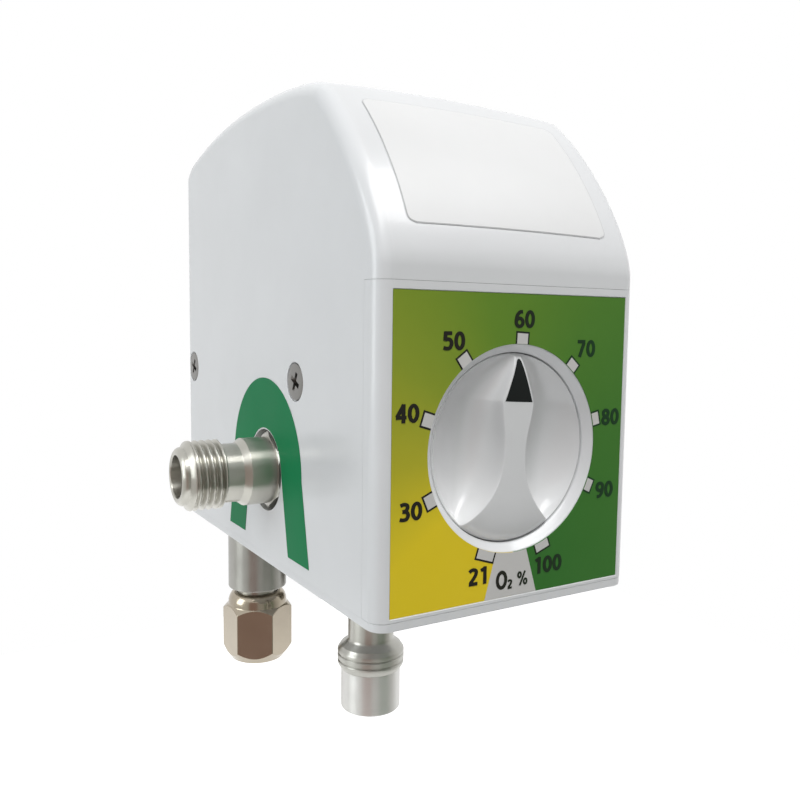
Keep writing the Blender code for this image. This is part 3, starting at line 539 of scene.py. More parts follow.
def bezier(start, start_angle, start_pull, end, end_angle, end_pull, steps):
    """Points of a curve between two places with given directions, without the first."""
    a, b = math.radians(start_angle), math.radians(end_angle)
    p0, p3 = Vector(start), Vector(end)
    p1 = p0 + Vector((math.cos(a), math.sin(a))) * start_pull
    p2 = p3 - Vector((math.cos(b), math.sin(b))) * end_pull
    points = []
    for k in range(1, steps + 1):
        t = k / steps
        s = 1 - t
        points.append(p0 * s ** 3 + p1 * 3 * s * s * t + p2 * 3 * s * t * t + p3 * t ** 3)
    return points


def run_at(points, k):
    """Direction of a line at one of its points."""
    return points[min(k + 1, len(points) - 1)] - points[max(k - 1, 0)]


def inset(points, distance):
    """The line moved inwards."""
    moved = []
    for k, point in enumerate(points):
        run = run_at(points, k)
        moved.append(point + Vector((run.y, -run.x)).normalized() * distance)
    return moved


def cover_outline(bottom):
    """The case seen from the side, from its foot in front over the top to the back."""
    line = [Vector((NOSE[0], bottom)), Vector(NOSE)]
    line += bezier(NOSE, 90, 7, SHOULDER, SHOULDER_SLOPE, 16, 40)
    line += bezier(SHOULDER, SHOULDER_SLOPE, 4, RIDGE, 0, 18, 24)
    line += bezier(RIDGE, 0, 16, HEEL, HEEL_SLOPE, 14, 14)
    line += bezier(HEEL, HEEL_SLOPE, 3, (BODY_D, BACK_Z), -90, 3, 12)
    line.append(Vector((BODY_D, bottom)))
    return line


def crowned(line, x, distance):
    """The side outline at x, with its top a little lower away from the middle."""
    row = []
    for k, point in enumerate(inset(line, distance)):
        run = run_at(line, k)
        drop = CROWN * (x / HALF_W) ** 2 * abs(run.x) / run.length
        row.append((x, point.x, point.y - drop))
    return row


def loft(stations, bottom):
    """The case's form through its stations, each a place in x and an inset."""
    line = cover_outline(bottom)
    verts = [vert for x, distance in stations for vert in crowned(line, x, distance)]
    return verts, wall_faces(len(line), len(stations))


def edge_stations(half, radius, steps):
    """Stations across the case whose insets round its side edges."""
    right = [(half * k / 8, 0.0) for k in range(1, 7)]
    for k in range(steps + 1):
        a = math.radians(90 * k / steps)
        right.append((half - radius + radius * math.sin(a), radius - radius * math.cos(a)))
    return [(-x, d) for x, d in reversed(right)] + [(0.0, 0.0)] + right


# Case
case_tools = [
    tool(loft([(WALL - HALF_W, WALL), (HALF_W - WALL, WALL)], SHELL_Z - 5)),
    tool(prism_mesh(rectangle(-HALF_W - 1, HALF_W + 1, -1, PANEL_DEPTH + JOINT),
                    SHELL_Z - 1, SEAM_Z)),
    disc_tool(OUTLET_AT, "X", OUT_HOLE_R, -WALL, WALL * 2)]
for side in (-1, 1):
    for y, z in SIDE_SCREWS:
        profile = [(0, -side), (SIDE_HEAD_R + 0.35, -side), (SIDE_HEAD_R + 0.2, 0.3 * side),
                   (2.3, 1.7 * side), (2.3, WALL * 2 * side), (0, WALL * 2 * side)]
        case_tools.append(tool(turned_mesh([(r, -h) for r, h in profile], "X", 64),
                               (side * HALF_W, y, z)))
case_tools.append(tool(prism_mesh(rectangle(-10.0, 10.0, 21.0, 46.0), -WALL * 2, WALL, "Y"),
                       (0, BODY_D, 0)))
case = add("case_shell", *loft(edge_stations(HALF_W, EDGE_R, 10), SHELL_Z), WHITE)
cut(case, case_tools)


def at_joint(p):
    """Whether a corner lies where the case meets the bezel."""
    return abs(p.y - PANEL_DEPTH) < 0.1 or abs(p.z - SEAM_Z) < 0.1


soften(case, 0.18, 2, 50, at_joint)
stands_for(case, "white_plastic", "cover")

# Front bezel
plan = ([(-HALF_W, PANEL_DEPTH)] + arc(EDGE_R - HALF_W, EDGE_R, EDGE_R, 180, 270, 12)
        + arc(HALF_W - EDGE_R, EDGE_R, EDGE_R, 270, 360, 12) + [(HALF_W, PANEL_DEPTH)]
        + [(HALF_W - WALL, PANEL_DEPTH), (HALF_W - WALL, WALL + 0.6),
           (WALL - HALF_W, WALL + 0.6), (WALL - HALF_W, PANEL_DEPTH)])
LABEL_HALF = 25.75
LABEL_Z = (2.3, 56.65)
LABEL_GAP = 0.06
bezel = add("front_bezel", *prism_mesh(plan, SHELL_Z, SEAM_Z - SEAM_GAP), WHITE)
seat = rectangle(-LABEL_HALF - LABEL_GAP, LABEL_HALF + LABEL_GAP,
                 LABEL_Z[0] - LABEL_GAP, LABEL_Z[1] + LABEL_GAP)
cut(bezel, [tool(prism_mesh(seat, -1, 0.3, "Y")),
            disc_tool(DIAL_AT, "Y", WELL_R + 1.6, 1.0, WELL_FLOOR + 2, 160, "UNION"),
            tool(turned_mesh([(0, -1.0), (WELL_MOUTH_R, -1.0), (WELL_MOUTH_R, 0.0),
                              (WELL_MOUTH_R - 0.2, 0.42), (WELL_R + 0.3, WELL_MOUTH - 0.35),
                              (WELL_R + 0.02, WELL_MOUTH), (WELL_R, WELL_MOUTH + 0.4),
                              (WELL_R, WELL_FLOOR), (0, WELL_FLOOR)], "Y", 160), DIAL_AT),
            disc_tool(DIAL_AT, "Y", 6.3, WELL_FLOOR - 1, WELL_FLOOR + 4)])
soften(bezel, 0.12, 2, 50, at_joint)
stands_for(bezel, "white_plastic", "front_panel")

# Base plate: its lower edge is rounded and its lip is hidden inside the case.
base = add("base_tray", *prism_mesh(rounded(-HALF_W + 0.05, HALF_W - 0.05, 0.05, BODY_D - 0.05,
                                            EDGE_R, 10), 0, BASE_T), WHITE)
holes = [(OXYGEN_AT, 8.2), (AIR_AT, 8.2), (ALARM_AT, 5.95)]
holes += [((x, y, 0), 3.1) for x in (-18, 18) for y in (34, 76)]
cut(base, [disc_tool(where, "Z", radius, -1, 3, 64) for where, radius in holes])
for polygon in base.data.polygons:
    polygon.use_smooth = True
LIP = 1.42
INNER_LIP_SHARE = 0.24
lip = base.modifiers.new("lip", "BEVEL")
lip.width = LIP * MM
lip.segments = 8
lip.limit_method = "WEIGHT"
weights = base.data.attributes.new("bevel_weight_edge", "FLOAT", "EDGE")
for edge in base.data.edges:
    ends = [base.data.vertices[k].co / MM for k in edge.vertices]
    outside = all(abs(p.x) > HALF_W - EDGE_R - 0.1 or p.y < 0.2 or p.y > BODY_D - 0.2
                  for p in ends)
    if outside and all(abs(p.z) < 0.01 for p in ends):
        weights.data[edge.index].value = 1.0
    elif outside and all(abs(p.z - BASE_T) < 0.01 for p in ends):
        weights.data[edge.index].value = INNER_LIP_SHARE
even_normals(base)
stands_for(base, "white_plastic", "base_plate")

# Dial film and its print, in thin layers from the film outwards
FILM_Y = 0.10
PRINT_BACK = FILM_Y - 0.002
film = add("dial_film", *prism_mesh(rectangle(-LABEL_HALF, LABEL_HALF, LABEL_Z[0] - DIAL_Z,
                                              LABEL_Z[1] - DIAL_Z), FILM_Y, 0.27, "Y"),
           DIAL_FIELD, DIAL_AT, smooth=0)
cut(film, [disc_tool(DIAL_AT, "Y", WELL_MOUTH_R + 0.02, -1, 1, 160)])
stands_for(film, "dial_film", "dial_label")
HOLE = WELL_MOUTH_R + 0.03
PRINT = Vector((-0.2, 0.15))


def patch(name, outline, lift, material):
    """A flat printed field on the dial's film."""
    thing = add(name, *prism_mesh(outline, FILM_Y - lift, PRINT_BACK, "Y"), material, DIAL_AT,
                smooth=0)
    return stands_for(thing, "dial_film")


def on_dial(across, out, clockwise):
    """A point of the print: across and out along a direction from the print's middle."""
    turn = math.radians(clockwise)
    return (PRINT.x + across * math.cos(turn) + out * math.sin(turn),
            PRINT.y + out * math.cos(turn) - across * math.sin(turn))


def at_hole(across, clockwise):
    """The place on the same line where it meets the hole's edge."""
    near, far = 15.0, 25.0
    while far - near > 0.001:
        middle = (near + far) / 2
        if math.hypot(*on_dial(across, middle, clockwise)) < HOLE:
            near = middle
        else:
            far = middle
    return on_dial(across, far, clockwise)


FOOT_ARC = arc(0, 0, HOLE, -81.0, -102.2, 16)
patch("scale_foot", [(-6.32, LABEL_Z[0] - DIAL_Z), (5.45, LABEL_Z[0] - DIAL_Z)] + FOOT_ARC,
      0.015, TICK_WHITE)
# For each number: its mark's direction and width, and where its figures stand
SCALE = {"21": (-162.0, 4.35, -7.8, -22.1), "30": (-113.6, 3.05, -22.0, -9.0),
         "40": (-72.4, 2.95, -22.85, 7.4), "50": (-35.6, 2.95, -13.9, 19.3),
         "60": (3.1, 3.05, 1.2, 23.15), "70": (41.5, 2.95, 16.0, 17.9),
         "80": (76.9, 3.0, 22.8, 4.8), "90": (114.6, 3.0, 21.9, -9.3),
         "100": (159.8, 3.75, 8.15, -22.1)}
TICK_OUT = 20.85
LINE = 0.34


def tick_outline(width, out, clockwise):
    """A mark from the hole's edge outwards."""
    steps = 6
    inner = [at_hole(-width / 2 + width * k / steps, clockwise) for k in range(steps + 1)]
    return inner + [on_dial(a, out, clockwise) for a in (width / 2, -width / 2)]


for value, (clockwise, width, x, z) in SCALE.items():
    patch(f"tick_line_{value}", tick_outline(width, TICK_OUT, clockwise), 0.03, INK)
    patch(f"tick_{value}", tick_outline(width - 2 * LINE, TICK_OUT - LINE, clockwise), 0.045,
          TICK_WHITE)


# Plain upright figures: centre lines of the strokes in a box one unit high.
STROKES = {
    "0": [("loop", (0.31, 0.5), 0.205, 0.405)],
    "1": [("line", (0.36, 0.0), (0.36, 1.0)), ("line", (0.40, 0.93), (0.12, 0.79))],
    "2": [("curve", (0.08, 0.80), (0.20, 0.89), (0.34, 0.905), (0.47, 0.82), (0.47, 0.66),
           (0.36, 0.44), (0.14, 0.16)), ("line", (0.06, 0.095), (0.56, 0.095))],
    "3": [("curve", (0.09, 0.86), (0.26, 0.915), (0.42, 0.87), (0.47, 0.74), (0.39, 0.58),
           (0.20, 0.53)), ("curve", (0.20, 0.53), (0.42, 0.49), (0.50, 0.32), (0.42, 0.13),
                           (0.24, 0.085), (0.06, 0.13))],
    "4": [("line", (0.42, 0.0), (0.42, 1.0)), ("line", (0.44, 0.98), (0.09, 0.33)),
          ("line", (0.03, 0.30), (0.58, 0.30))],
    "5": [("line", (0.52, 0.905), (0.12, 0.905)), ("line", (0.17, 0.99), (0.14, 0.50)),
          ("curve", (0.14, 0.55), (0.28, 0.585), (0.44, 0.53), (0.50, 0.35), (0.42, 0.14),
           (0.24, 0.085), (0.06, 0.13))],
    "6": [("curve", (0.50, 0.91), (0.32, 0.88), (0.17, 0.71), (0.115, 0.48), (0.105, 0.31)),
          ("loop", (0.31, 0.315), 0.205, 0.225)],
    "7": [("line", (0.05, 0.905), (0.56, 0.905)), ("line", (0.49, 0.86), (0.19, 0.0))],
    "8": [("loop", (0.31, 0.725), 0.175, 0.185), ("loop", (0.31, 0.285), 0.205, 0.195)],
    "9": [("curve", (0.12, 0.09), (0.30, 0.12), (0.45, 0.29), (0.505, 0.52), (0.515, 0.69)),
          ("loop", (0.31, 0.685), 0.205, 0.225)],
    "O": [("loop", (0.36, 0.5), 0.27, 0.405)],
    "%": [("loop", (0.20, 0.76), 0.13, 0.175), ("loop", (0.72, 0.24), 0.13, 0.175),
          ("line", (0.68, 1.0), (0.24, 0.0))],
}
ADVANCE = {"1": 0.60, "O": 0.72, "%": 0.92}
USUAL_ADVANCE = 0.64
LETTER_GAP = 0.04
LOOP_STEPS = 48
FIGURE_LIFT = 0.06
STACK = 0.0012


def smooth_line(points, steps=10):
    """A curve through the points."""
    points = [Vector(p) for p in points]
    ends = [points[0] * 2 - points[1]] + points + [points[-1] * 2 - points[-2]]
    line = []
    for a, b, c, d in zip(ends, ends[1:], ends[2:], ends[3:]):
        for k in range(steps):
            t = k / steps
            line.append(0.5 * (2 * b + (c - a) * t + (2 * a - 5 * b + 4 * c - d) * t * t
                               + (3 * b - a - 3 * c + d) * t ** 3))
    return line + [points[-1]]


def ribbon(line, half, closed):
    """Left and right edges of a stroke along a centre line."""
    edges = []
    for k, point in enumerate(line):
        run = line[(k + 1) % len(line)] - line[k - 1] if closed else run_at(line, k)
        side = Vector((-run.y, run.x)).normalized() * half
        edges.append((point + side, point - side))
    return edges


def centre_line(kind, shape):
    """The middle of a stroke."""
    if kind == "line":
        return [Vector(point) for point in shape]
    if kind == "curve":
        return smooth_line(shape)
    (x, y), half_width, half_height = shape
    angles = [math.tau * k / LOOP_STEPS for k in range(LOOP_STEPS)]
    return [Vector((x + half_width * math.cos(a), y + half_height * math.sin(a)))
            for a in angles]


def stroke_faces(start, count, closed):
    """Faces round a stroke that has four corners at each of its points."""
    faces = []
    for k in range(count if closed else count - 1):
        a, b = start + 4 * k, start + 4 * ((k + 1) % count)
        faces += [[a, a + 2, b + 2, b], [a + 1, b + 1, b + 3, a + 3],
                  [a, b, b + 1, a + 1], [a + 2, a + 3, b + 3, b + 2]]
    if not closed:
        faces += [[a, a + 1, a + 3, a + 2] for a in (start, start + 4 * (count - 1))]
    return faces


def figure(name, text, height, x, z, stretch, weight):
    """Figures of a height, centred at x and z from the dial's middle."""
    width = sum(ADVANCE.get(letter, USUAL_ADVANCE) for letter in text) - LETTER_GAP
    verts, faces = [], []
    pen = 0.0
    front = FILM_Y - FIGURE_LIFT
    for letter in text:
        for kind, *shape in STROKES[letter]:
            closed = kind == "loop"
            edges = ribbon(centre_line(kind, shape), weight / 2, closed)
            front -= STACK
            faces += stroke_faces(len(verts), len(edges), closed)
            for point in [point for pair in edges for point in pair]:
                across = (pen + point.x - width / 2) * height * stretch + x
                up = (point.y - 0.5) * height + z
                verts += [(across, front, up), (across, PRINT_BACK, up)]
        pen += ADVANCE.get(letter, USUAL_ADVANCE)
    thing = add(name, verts, faces, INK, DIAL_AT, smooth=0)
    return stands_for(thing, "dial_film")


for value, (clockwise, width, x, z) in SCALE.items():
    figure(f"figure_{value}", value, 3.15, x, z, 1.16, 0.20)
figure("figure_gas", "O", 3.5, -2.65, -23.6, 1.0, 0.19)
figure("figure_gas_two", "2", 1.7, -0.7, -24.6, 1.1, 0.22)
figure("figure_percent", "%", 2.6, 2.15, -23.9, 1.0, 0.15)


# Top label on the slope
slope = [Vector(NOSE)] + bezier(NOSE, 90, 7, SHOULDER, SHOULDER_SLOPE, 16, 160)
lengths = [0.0]
for one, two in zip(slope, slope[1:]):
    lengths.append(lengths[-1] + (two - one).length)


def on_slope(x, along, lift):
    """A point over the slope, at a distance along it from the nose."""
    along = min(max(along, 0.0), lengths[-1])
    k = 0
    while k < len(lengths) - 2 and lengths[k + 1] < along:
        k += 1
    point = slope[k].lerp(slope[k + 1], (along - lengths[k]) / (lengths[k + 1] - lengths[k]))
    run = (slope[k + 1] - slope[k]).normalized()
    drop = CROWN * (x / HALF_W) ** 2 * abs(run.x)
    point = point + Vector((-run.y, run.x)) * lift
    return (x, point.x, point.y - drop)


TOP_HALF = 22.0
TOP_START, TOP_END = 7.6, lengths[-1] - 4.2
TOP_ROWS, TOP_COLUMNS = 60, 24


def slope_patch(name, trim, lift, radius, material, *nodes):
    """The label's rounded rectangle on the slope, smaller by trim on each side."""
    half, start, end = TOP_HALF - trim, TOP_START + trim, TOP_END - trim
    verts = []
    for layer in (lift, lift - 0.04):
        for row in range(TOP_ROWS + 1):
            along = start + (end - start) * row / TOP_ROWS
            near = min(along - start, end - along)
            reach = half
            if near < radius:
                reach -= radius - math.sqrt(max(0.0, radius ** 2 - (radius - near) ** 2))
            for column in range(TOP_COLUMNS + 1):
                verts.append(on_slope(reach * (2 * column / TOP_COLUMNS - 1), along, layer))
    thing = add(name, verts, plate_faces(TOP_ROWS, TOP_COLUMNS), material)
    return stands_for(thing, "printed_film", *nodes)


# A grey layer a little wider than the white film makes a rim: painted shade along the label's
# edge.
slope_patch("top_film_edge", 0.0, 0.10, 1.6, FILM_EDGE_SHADE, "top_label")
slope_patch("top_film", 0.18, 0.15, 1.5, FILM)

# Outlet label on the side wall
horseshoe = ([(OUT_Y + 22.5, 4.1)] + arc(OUT_Y, 20.6, 19.0, 0, 180, 64)
             + [(OUT_Y - 22.5, 4.1), (OUT_Y - 12.4, 4.1)]
             + arc(OUT_Y, OUT_Z, OUT_HOLE_R + 0.3, 180, 0, 48) + [(OUT_Y + 12.4, 4.1)])
outlet_film = add("outlet_film", *prism_mesh(horseshoe, -0.09, -0.02, "X"), OUTLET_GREEN,
                  (-HALF_W, 0, 0), smooth=0)
stands_for(outlet_film, "green_film", "outlet_label")


# Knob
def grip_half(z):
    """Half the width of the grip at a height on the knob."""
    if z > POINTER_Z:
        share = (z - POINTER_Z) / (TIP_Z - POINTER_Z)
        return POINTER_HALF + (TIP_HALF - POINTER_HALF) * min(share, 1.0)
    if z > 0:
        swell = 0.5 - 0.5 * math.cos(math.pi * z / POINTER_Z)
        return WAIST_HALF + (POINTER_HALF - WAIST_HALF) * swell
    flare = math.sqrt(KNOB_FACE_R ** 2 - CORNER_Z ** 2) - WAIST_HALF
    return WAIST_HALF + flare * (z / CORNER_Z) ** 2.6


def face_y(x, z):
    """Depth of the knob's face, flat in the middle and falling away to the rim."""
    share = (math.hypot(x, z) - GRIP_FLAT_R) / (KNOB_FACE_R - GRIP_FLAT_R)
    share = min(max(share, 0.0), 1.0)
    return RIM_Y - (RIM_Y - GRIP_Y) * math.sqrt(1 - share * share)


def scoop_y(z, across, along, width):
    """Depth of a scoop, from the grip's edge across to the rim."""
    edge = face_y(grip_half(z), z)
    bowl = math.sin(math.pi * across ** 0.75) ** 0.85 * math.sin(math.pi * along ** 0.72) ** 0.75
    ease = 1 - math.exp(-(across * width / 0.35) ** 2)
    return edge + (RIM_Y - edge) * across + SCOOP_DEPTH * bowl * ease


ROWS = 110
STRIP = [k / 10 for k in range(-10, 11)]
ACROSS = [(k / 44) ** 1.5 for k in range(1, 45)]
TOP_Z = math.sqrt(KNOB_FACE_R ** 2 - 1.5 ** 2)
heights = [-KNOB_FACE_R * math.cos(math.radians(a)) for a in (6, 10, 14, 18, 22, 26, 30, 34)]
CORNER = len(heights)
heights += [CORNER_Z + (TOP_Z - CORNER_Z) * k / ROWS for k in range(ROWS + 1)]
verts, strip, sides, faces = [], [], {-1: [], 1: []}, []
for row, z in enumerate(heights):
    reach = math.sqrt(KNOB_FACE_R ** 2 - z * z)
    along = (z - CORNER_Z) / (TOP_Z - CORNER_Z)
    scooped = CORNER < row < len(heights) - 1
    half = grip_half(z) if scooped else reach
    strip.append([])
    for share in STRIP:
        x = half * share
        on_rim = row in (0, len(heights) - 1)
        height = math.copysign(math.sqrt(KNOB_FACE_R ** 2 - x * x), z) if on_rim else z
        strip[-1].append(len(verts))
        verts.append((x, face_y(x, height), height))
    for side in sides:
        line = [strip[-1][-1 if side > 0 else 0]] * (1 + len(ACROSS))
        if scooped:
            for k, across in enumerate(ACROSS):
                line[k + 1] = len(verts)
                verts.append((side * (half + (reach - half) * across),
                              scoop_y(z, across, along, reach - half), z))
        sides[side].append(line)
for lines in (strip, sides[-1], sides[1]):
    for one, two in zip(lines, lines[1:]):
        for k in range(len(one) - 1):
            corners = list(dict.fromkeys([one[k], one[k + 1], two[k + 1], two[k]]))
            if len(corners) > 2:
                faces.append(corners)
inner_rows = range(1, len(heights) - 1)
rim = (strip[0] + [sides[1][row][-1] for row in inner_rows] + strip[-1][::-1]
       + [sides[-1][row][-1] for row in reversed(inner_rows)])
for y, radius in ((RIM_Y + 0.05, KNOB_FACE_R + 0.12), (RIM_Y + 0.14, KNOB_R - 0.05),
                  (RIM_Y + 0.3, KNOB_R), (KNOB_BACK, KNOB_R)):
    ring = []
    for index in rim:
        scale = radius / math.hypot(verts[index][0], verts[index][2])
        ring.append(len(verts))
        verts.append((verts[index][0] * scale, y, verts[index][2] * scale))
    for k in range(len(rim)):
        j = (k + 1) % len(rim)
        faces.append([rim[k], rim[j], ring[j], ring[k]])
    rim = ring
faces.append(rim)
knob = add("dial_knob", verts, faces, KNOB_WHITE, DIAL_AT, smooth=50)
knob.rotation_euler = (0, math.radians(DIAL_ANGLE), 0)
stands_for(knob, "white_plastic", "knob", body="dial")

# The pointer's black triangle, thin and let into the grip
INLAY_ROWS = 40
INLAY_SHARES = (-1, -0.6, -0.2, 0.2, 0.6, 1)
verts = []
for layer in (-0.03, 0.25):
    for row in range(INLAY_ROWS + 1):
        z = POINTER_Z + 0.02 + (TIP_Z - 0.1 - POINTER_Z) * row / INLAY_ROWS
        share = (z - POINTER_Z) / (TIP_Z - POINTER_Z)
        half = (POINTER_HALF - 0.22) + (0.32 - POINTER_HALF + 0.22) * share
        half *= min(1.0, math.sqrt(max(0.0, (TIP_Z + 0.05 - z) / 0.5)))
        for share in INLAY_SHARES:
            verts.append((half * share, face_y(half * share, z) + layer, z))
inlay = add("pointer_inlay", verts, plate_faces(INLAY_ROWS, len(INLAY_SHARES) - 1), BLACK,
            DIAL_AT)
inlay.rotation_euler = knob.rotation_euler
stands_for(inlay, "black_plastic", "pointer", body="dial")


# Metal fittings
def fitting(name, node_name, mesh_data, material, where, smooth=28):
    """A plated fitting, turned in one piece."""
    thing = even_normals(add(name, *mesh_data, material, where, smooth=smooth))
    return stands_for(thing, "nickel_plate", node_name)


CREST = 7.14
ROOT = 6.25
OUTLET_PITCH = 1.41
fitting("outlet_fitting", "outlet_body", threaded_mesh(
    [(4.3, -18.75), (4.42, -18.98), (4.7, -19.1), (5.0, -19.06), (5.4, -18.9), (5.75, -18.6),
     (5.93, -18.3), (6.0, -17.95), (6.0, -17.7), (6.4, -17.3), (7.0, -16.95), (CREST, -16.7),
     (CREST, -10.6), (6.7, -10.35), (6.15, -10.1), (6.1, -9.95), (6.1, -6.75), (6.13, -6.62),
     (7.0, -5.42), (7.05, -5.3), (7.05, 3.0), (5.5, 3.0), (5.5, 15.6), (4.1, 15.6),
     (4.1, -6.0), (3.0, -6.0), (3.0, -14.9), (4.3, -15.5)],
    (-16.7, -10.6, CREST, ROOT, OUTLET_PITCH), "X", 128), NICKEL_X, OUTLET_AT, smooth=35)
HEX_FLATS = 14.5
HEX_R = HEX_FLATS / math.sqrt(3)
HEX_FACE = 0.12
hex_base = add("outlet_hex", *prism_mesh(hexagon(HEX_R, 30), HEX_FACE, 2.9, "X"), SATIN_HALF_SHADED,
               OUTLET_AT)
cut(hex_base, [tool(turned_mesh([(0, HEX_FACE - 0.01), (7.5, HEX_FACE - 0.01),
                                 (HEX_R + 0.1, HEX_FACE + 0.6), (HEX_R + 0.1, 4), (0, 4)], "X"),
                    OUTLET_AT, "INTERSECT"),
               disc_tool(OUTLET_AT, "X", 7.0, -3, 5)])
soften(hex_base, 0.12, 2, 35)
stands_for(hex_base, "nickel_plate")

fitting("oxygen_sleeve", "oxygen_adapter", turned_mesh(
    [(4.9, -19.8), (4.9, 2.0), (7.75, 2.0), (7.75, -19.55), (7.63, -19.86), (7.35, -20.0),
     (5.2, -20.0)], "Z"), SATIN_SHADED, OXYGEN_AT)
fitting("oxygen_stem", "oxygen_nipple", turned_mesh(
    [(2.4, -35.8), (2.4, -13.0), (4.55, -13.0), (4.55, -20.3), (5.5, -20.3), (5.5, -26.0),
     (6.1, -26.2), (6.1, -28.5), (4.6, -31.5), (4.2, -35.6), (3.9, -35.95), (2.6, -36.0)],
    "Z"), NICKEL_Z, OXYGEN_AT)
NUT_FLATS = 16.1
NUT_R = NUT_FLATS / math.sqrt(3)
NUT_TURN = 34.2
NUT_TOP, NUT_BOTTOM = -21.3, -39.5
nut = add("hose_nut", *prism_mesh(hexagon(NUT_R, NUT_TURN), NUT_BOTTOM, NUT_TOP), NICKEL,
          OXYGEN_AT)
cut(nut, [tool(turned_mesh([(0, NUT_TOP - 0.01), (6.1, NUT_TOP - 0.01), (6.6, NUT_TOP - 0.2),
                            (7.1, NUT_TOP - 0.7), (7.5, NUT_TOP - 1.4), (7.75, NUT_TOP - 2.2),
                            (7.85, NUT_TOP - 3.4), (NUT_R + 0.05, NUT_TOP - 4.9),
                            (NUT_R + 0.05, NUT_BOTTOM + 3.0), (7.4, NUT_BOTTOM + 0.65),
                            (7.15, NUT_BOTTOM + 0.15), (6.95, NUT_BOTTOM + 0.01),
                            (0, NUT_BOTTOM + 0.01)], "Z", 120), OXYGEN_AT, "INTERSECT"),
          tool(turned_mesh([(0, NUT_TOP + 2), (5.62, NUT_TOP + 2), (5.62, -25.9), (6.5, -25.9),
                            (6.5, NUT_BOTTOM + 0.5), (6.75, NUT_BOTTOM - 0.4),
                            (0, NUT_BOTTOM - 0.4)], "Z"), OXYGEN_AT)])
soften(nut, 0.16, 3, 25)
stands_for(nut, "nickel_plate", "oxygen_nut", body="nut")
fitting("air_fitting", "air_inlet", threaded_mesh(
    [(4.9, -24.9), (4.9, 2.0), (7.75, 2.0), (7.75, -7.9), (8.9, -8.6), (9.5, -9.0),
     (9.5, -22.0), (8.6, -22.6), (8.2, -23.0), (8.2, -24.5), (7.7, -25.0), (5.1, -25.0)],
    (-9.0, -22.0, 9.5, 8.5, 1.59), "Z", 96), NICKEL_Z, AIR_AT)

fitting("alarm_fitting", "alarm_body", turned_mesh(
    [(1.6, 12.0), (4.2, 12.0), (4.2, 2.0), (5.5, 2.0), (5.5, -23.3), (5.58, -23.7),
     (5.85, -24.05), (7.1, -25.0), (7.25, -25.12), (7.32, -25.3), (7.75, -25.85),
     (7.93, -26.15), (7.95, -26.4), (7.95, -26.75), (7.85, -26.88), (7.66, -27.0),
     (7.66, -27.14), (7.85, -27.26), (7.95, -27.4), (7.95, -28.35), (7.85, -28.48),
     (7.66, -28.6), (7.66, -28.74), (7.85, -28.86), (7.93, -29.0), (7.9, -29.5),
     (7.7, -29.95), (7.35, -30.4), (7.25, -30.7), (5.4, -30.7), (5.4, -34.0),
     (1.6, -34.0)], "Z"), SATIN_HALF_SHADED, ALARM_AT)
fitting("alarm_sleeve", "alarm_cap", turned_mesh(
    [(5.7, -30.82), (7.1, -30.82), (7.1, -40.0), (7.05, -40.2), (6.85, -40.42), (6.6, -40.5),
     (3.3, -40.5), (3.0, -40.2), (3.0, -39.3), (5.7, -39.3)], "Z"), SATIN, ALARM_AT)


# Cross-recess screws in the sides
def cross_screw(name, where, side, node_name):
    """A countersunk screw in a side wall."""
    profile = [(0, 0.0), (SIDE_HEAD_R - 0.45, 0.0), (SIDE_HEAD_R - 0.1, 0.08),
               (SIDE_HEAD_R, 0.25), (1.7, 1.75), (1.7, 12.4), (0, 12.4)]
    screw = add(name, *turned_mesh([(r, -side * h) for r, h in profile], "X", 64), SCREW_STEEL,
                where)
    faces = [[0, 1, 2, 3], [4, 5, 6, 7], [0, 1, 5, 4], [1, 2, 6, 5], [2, 3, 7, 6], [3, 0, 4, 7]]
    tools = []
    for turn in (25, 115):
        c, s = math.cos(math.radians(turn)), math.sin(math.radians(turn))
        blade = []
        for depth, half, thick in ((-0.2, 2.15, 0.52), (1.5, 0.75, 0.34)):
            for a, b in rectangle(-half, half, -thick, thick):
                blade.append((-side * depth, a * c - b * s, a * s + b * c))
        tools.append(tool((blade, faces), where))
    cut(screw, tools)
    soften(screw, 0.06, 2, 35)
    return stands_for(screw, "stainless_steel", node_name)


for side, label in ((-1, "left"), (1, "right")):
    for number, (y, z) in enumerate(SIDE_SCREWS, 1):
        cross_screw(f"side_screw_{label}_{number}", (side * HALF_W, y, z), side,
                    f"cover_screw_{label}_{number}")


# Socket screws below and behind
def socket_screw(name, node_name, axis, inward, head, shank_r, socket_r):
    """A screw with a hexagon socket, from the outer face of its node inwards."""
    head_r, head_h = head
    low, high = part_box(node_name)
    k = "XYZ".index(axis)
    length = (high[k] - low[k]) / MM
    spot = (low + high) / 2
    spot[k] = low[k] if inward > 0 else high[k]
    profile = [(0, 0), (head_r - 0.15, 0), (head_r, 0.1), (shank_r, head_h),
               (shank_r, length - 0.4), (shank_r - 0.4, length), (0, length)]
    screw = add(name, *turned_mesh([(r, inward * h) for r, h in profile], axis, 48), STEEL)
    cut(screw, [tool(prism_mesh(hexagon(socket_r), -0.5 * inward, (head_h - 0.5) * inward,
                                axis))])
    screw.location = spot
    soften(screw, 0.06, 2, 35)
    return stands_for(screw, "stainless_steel", node_name)


for number in range(1, 5):
    socket_screw(f"lower_screw_{number}", f"base_screw_{number}", "Z", 1, (2.9, 1.3), 1.4, 1.45)
for number in range(1, 3):
    socket_screw(f"rear_screw_{number}", f"slide_screw_{number}", "Y", -1, (3.6, 2.0), 1.5, 1.75)
for name in ("slide_mount", "outlet_poppet", "outlet_ring"):
    soften(NODES[name], 0.25 if name == "slide_mount" else 0.1, 2, 30)

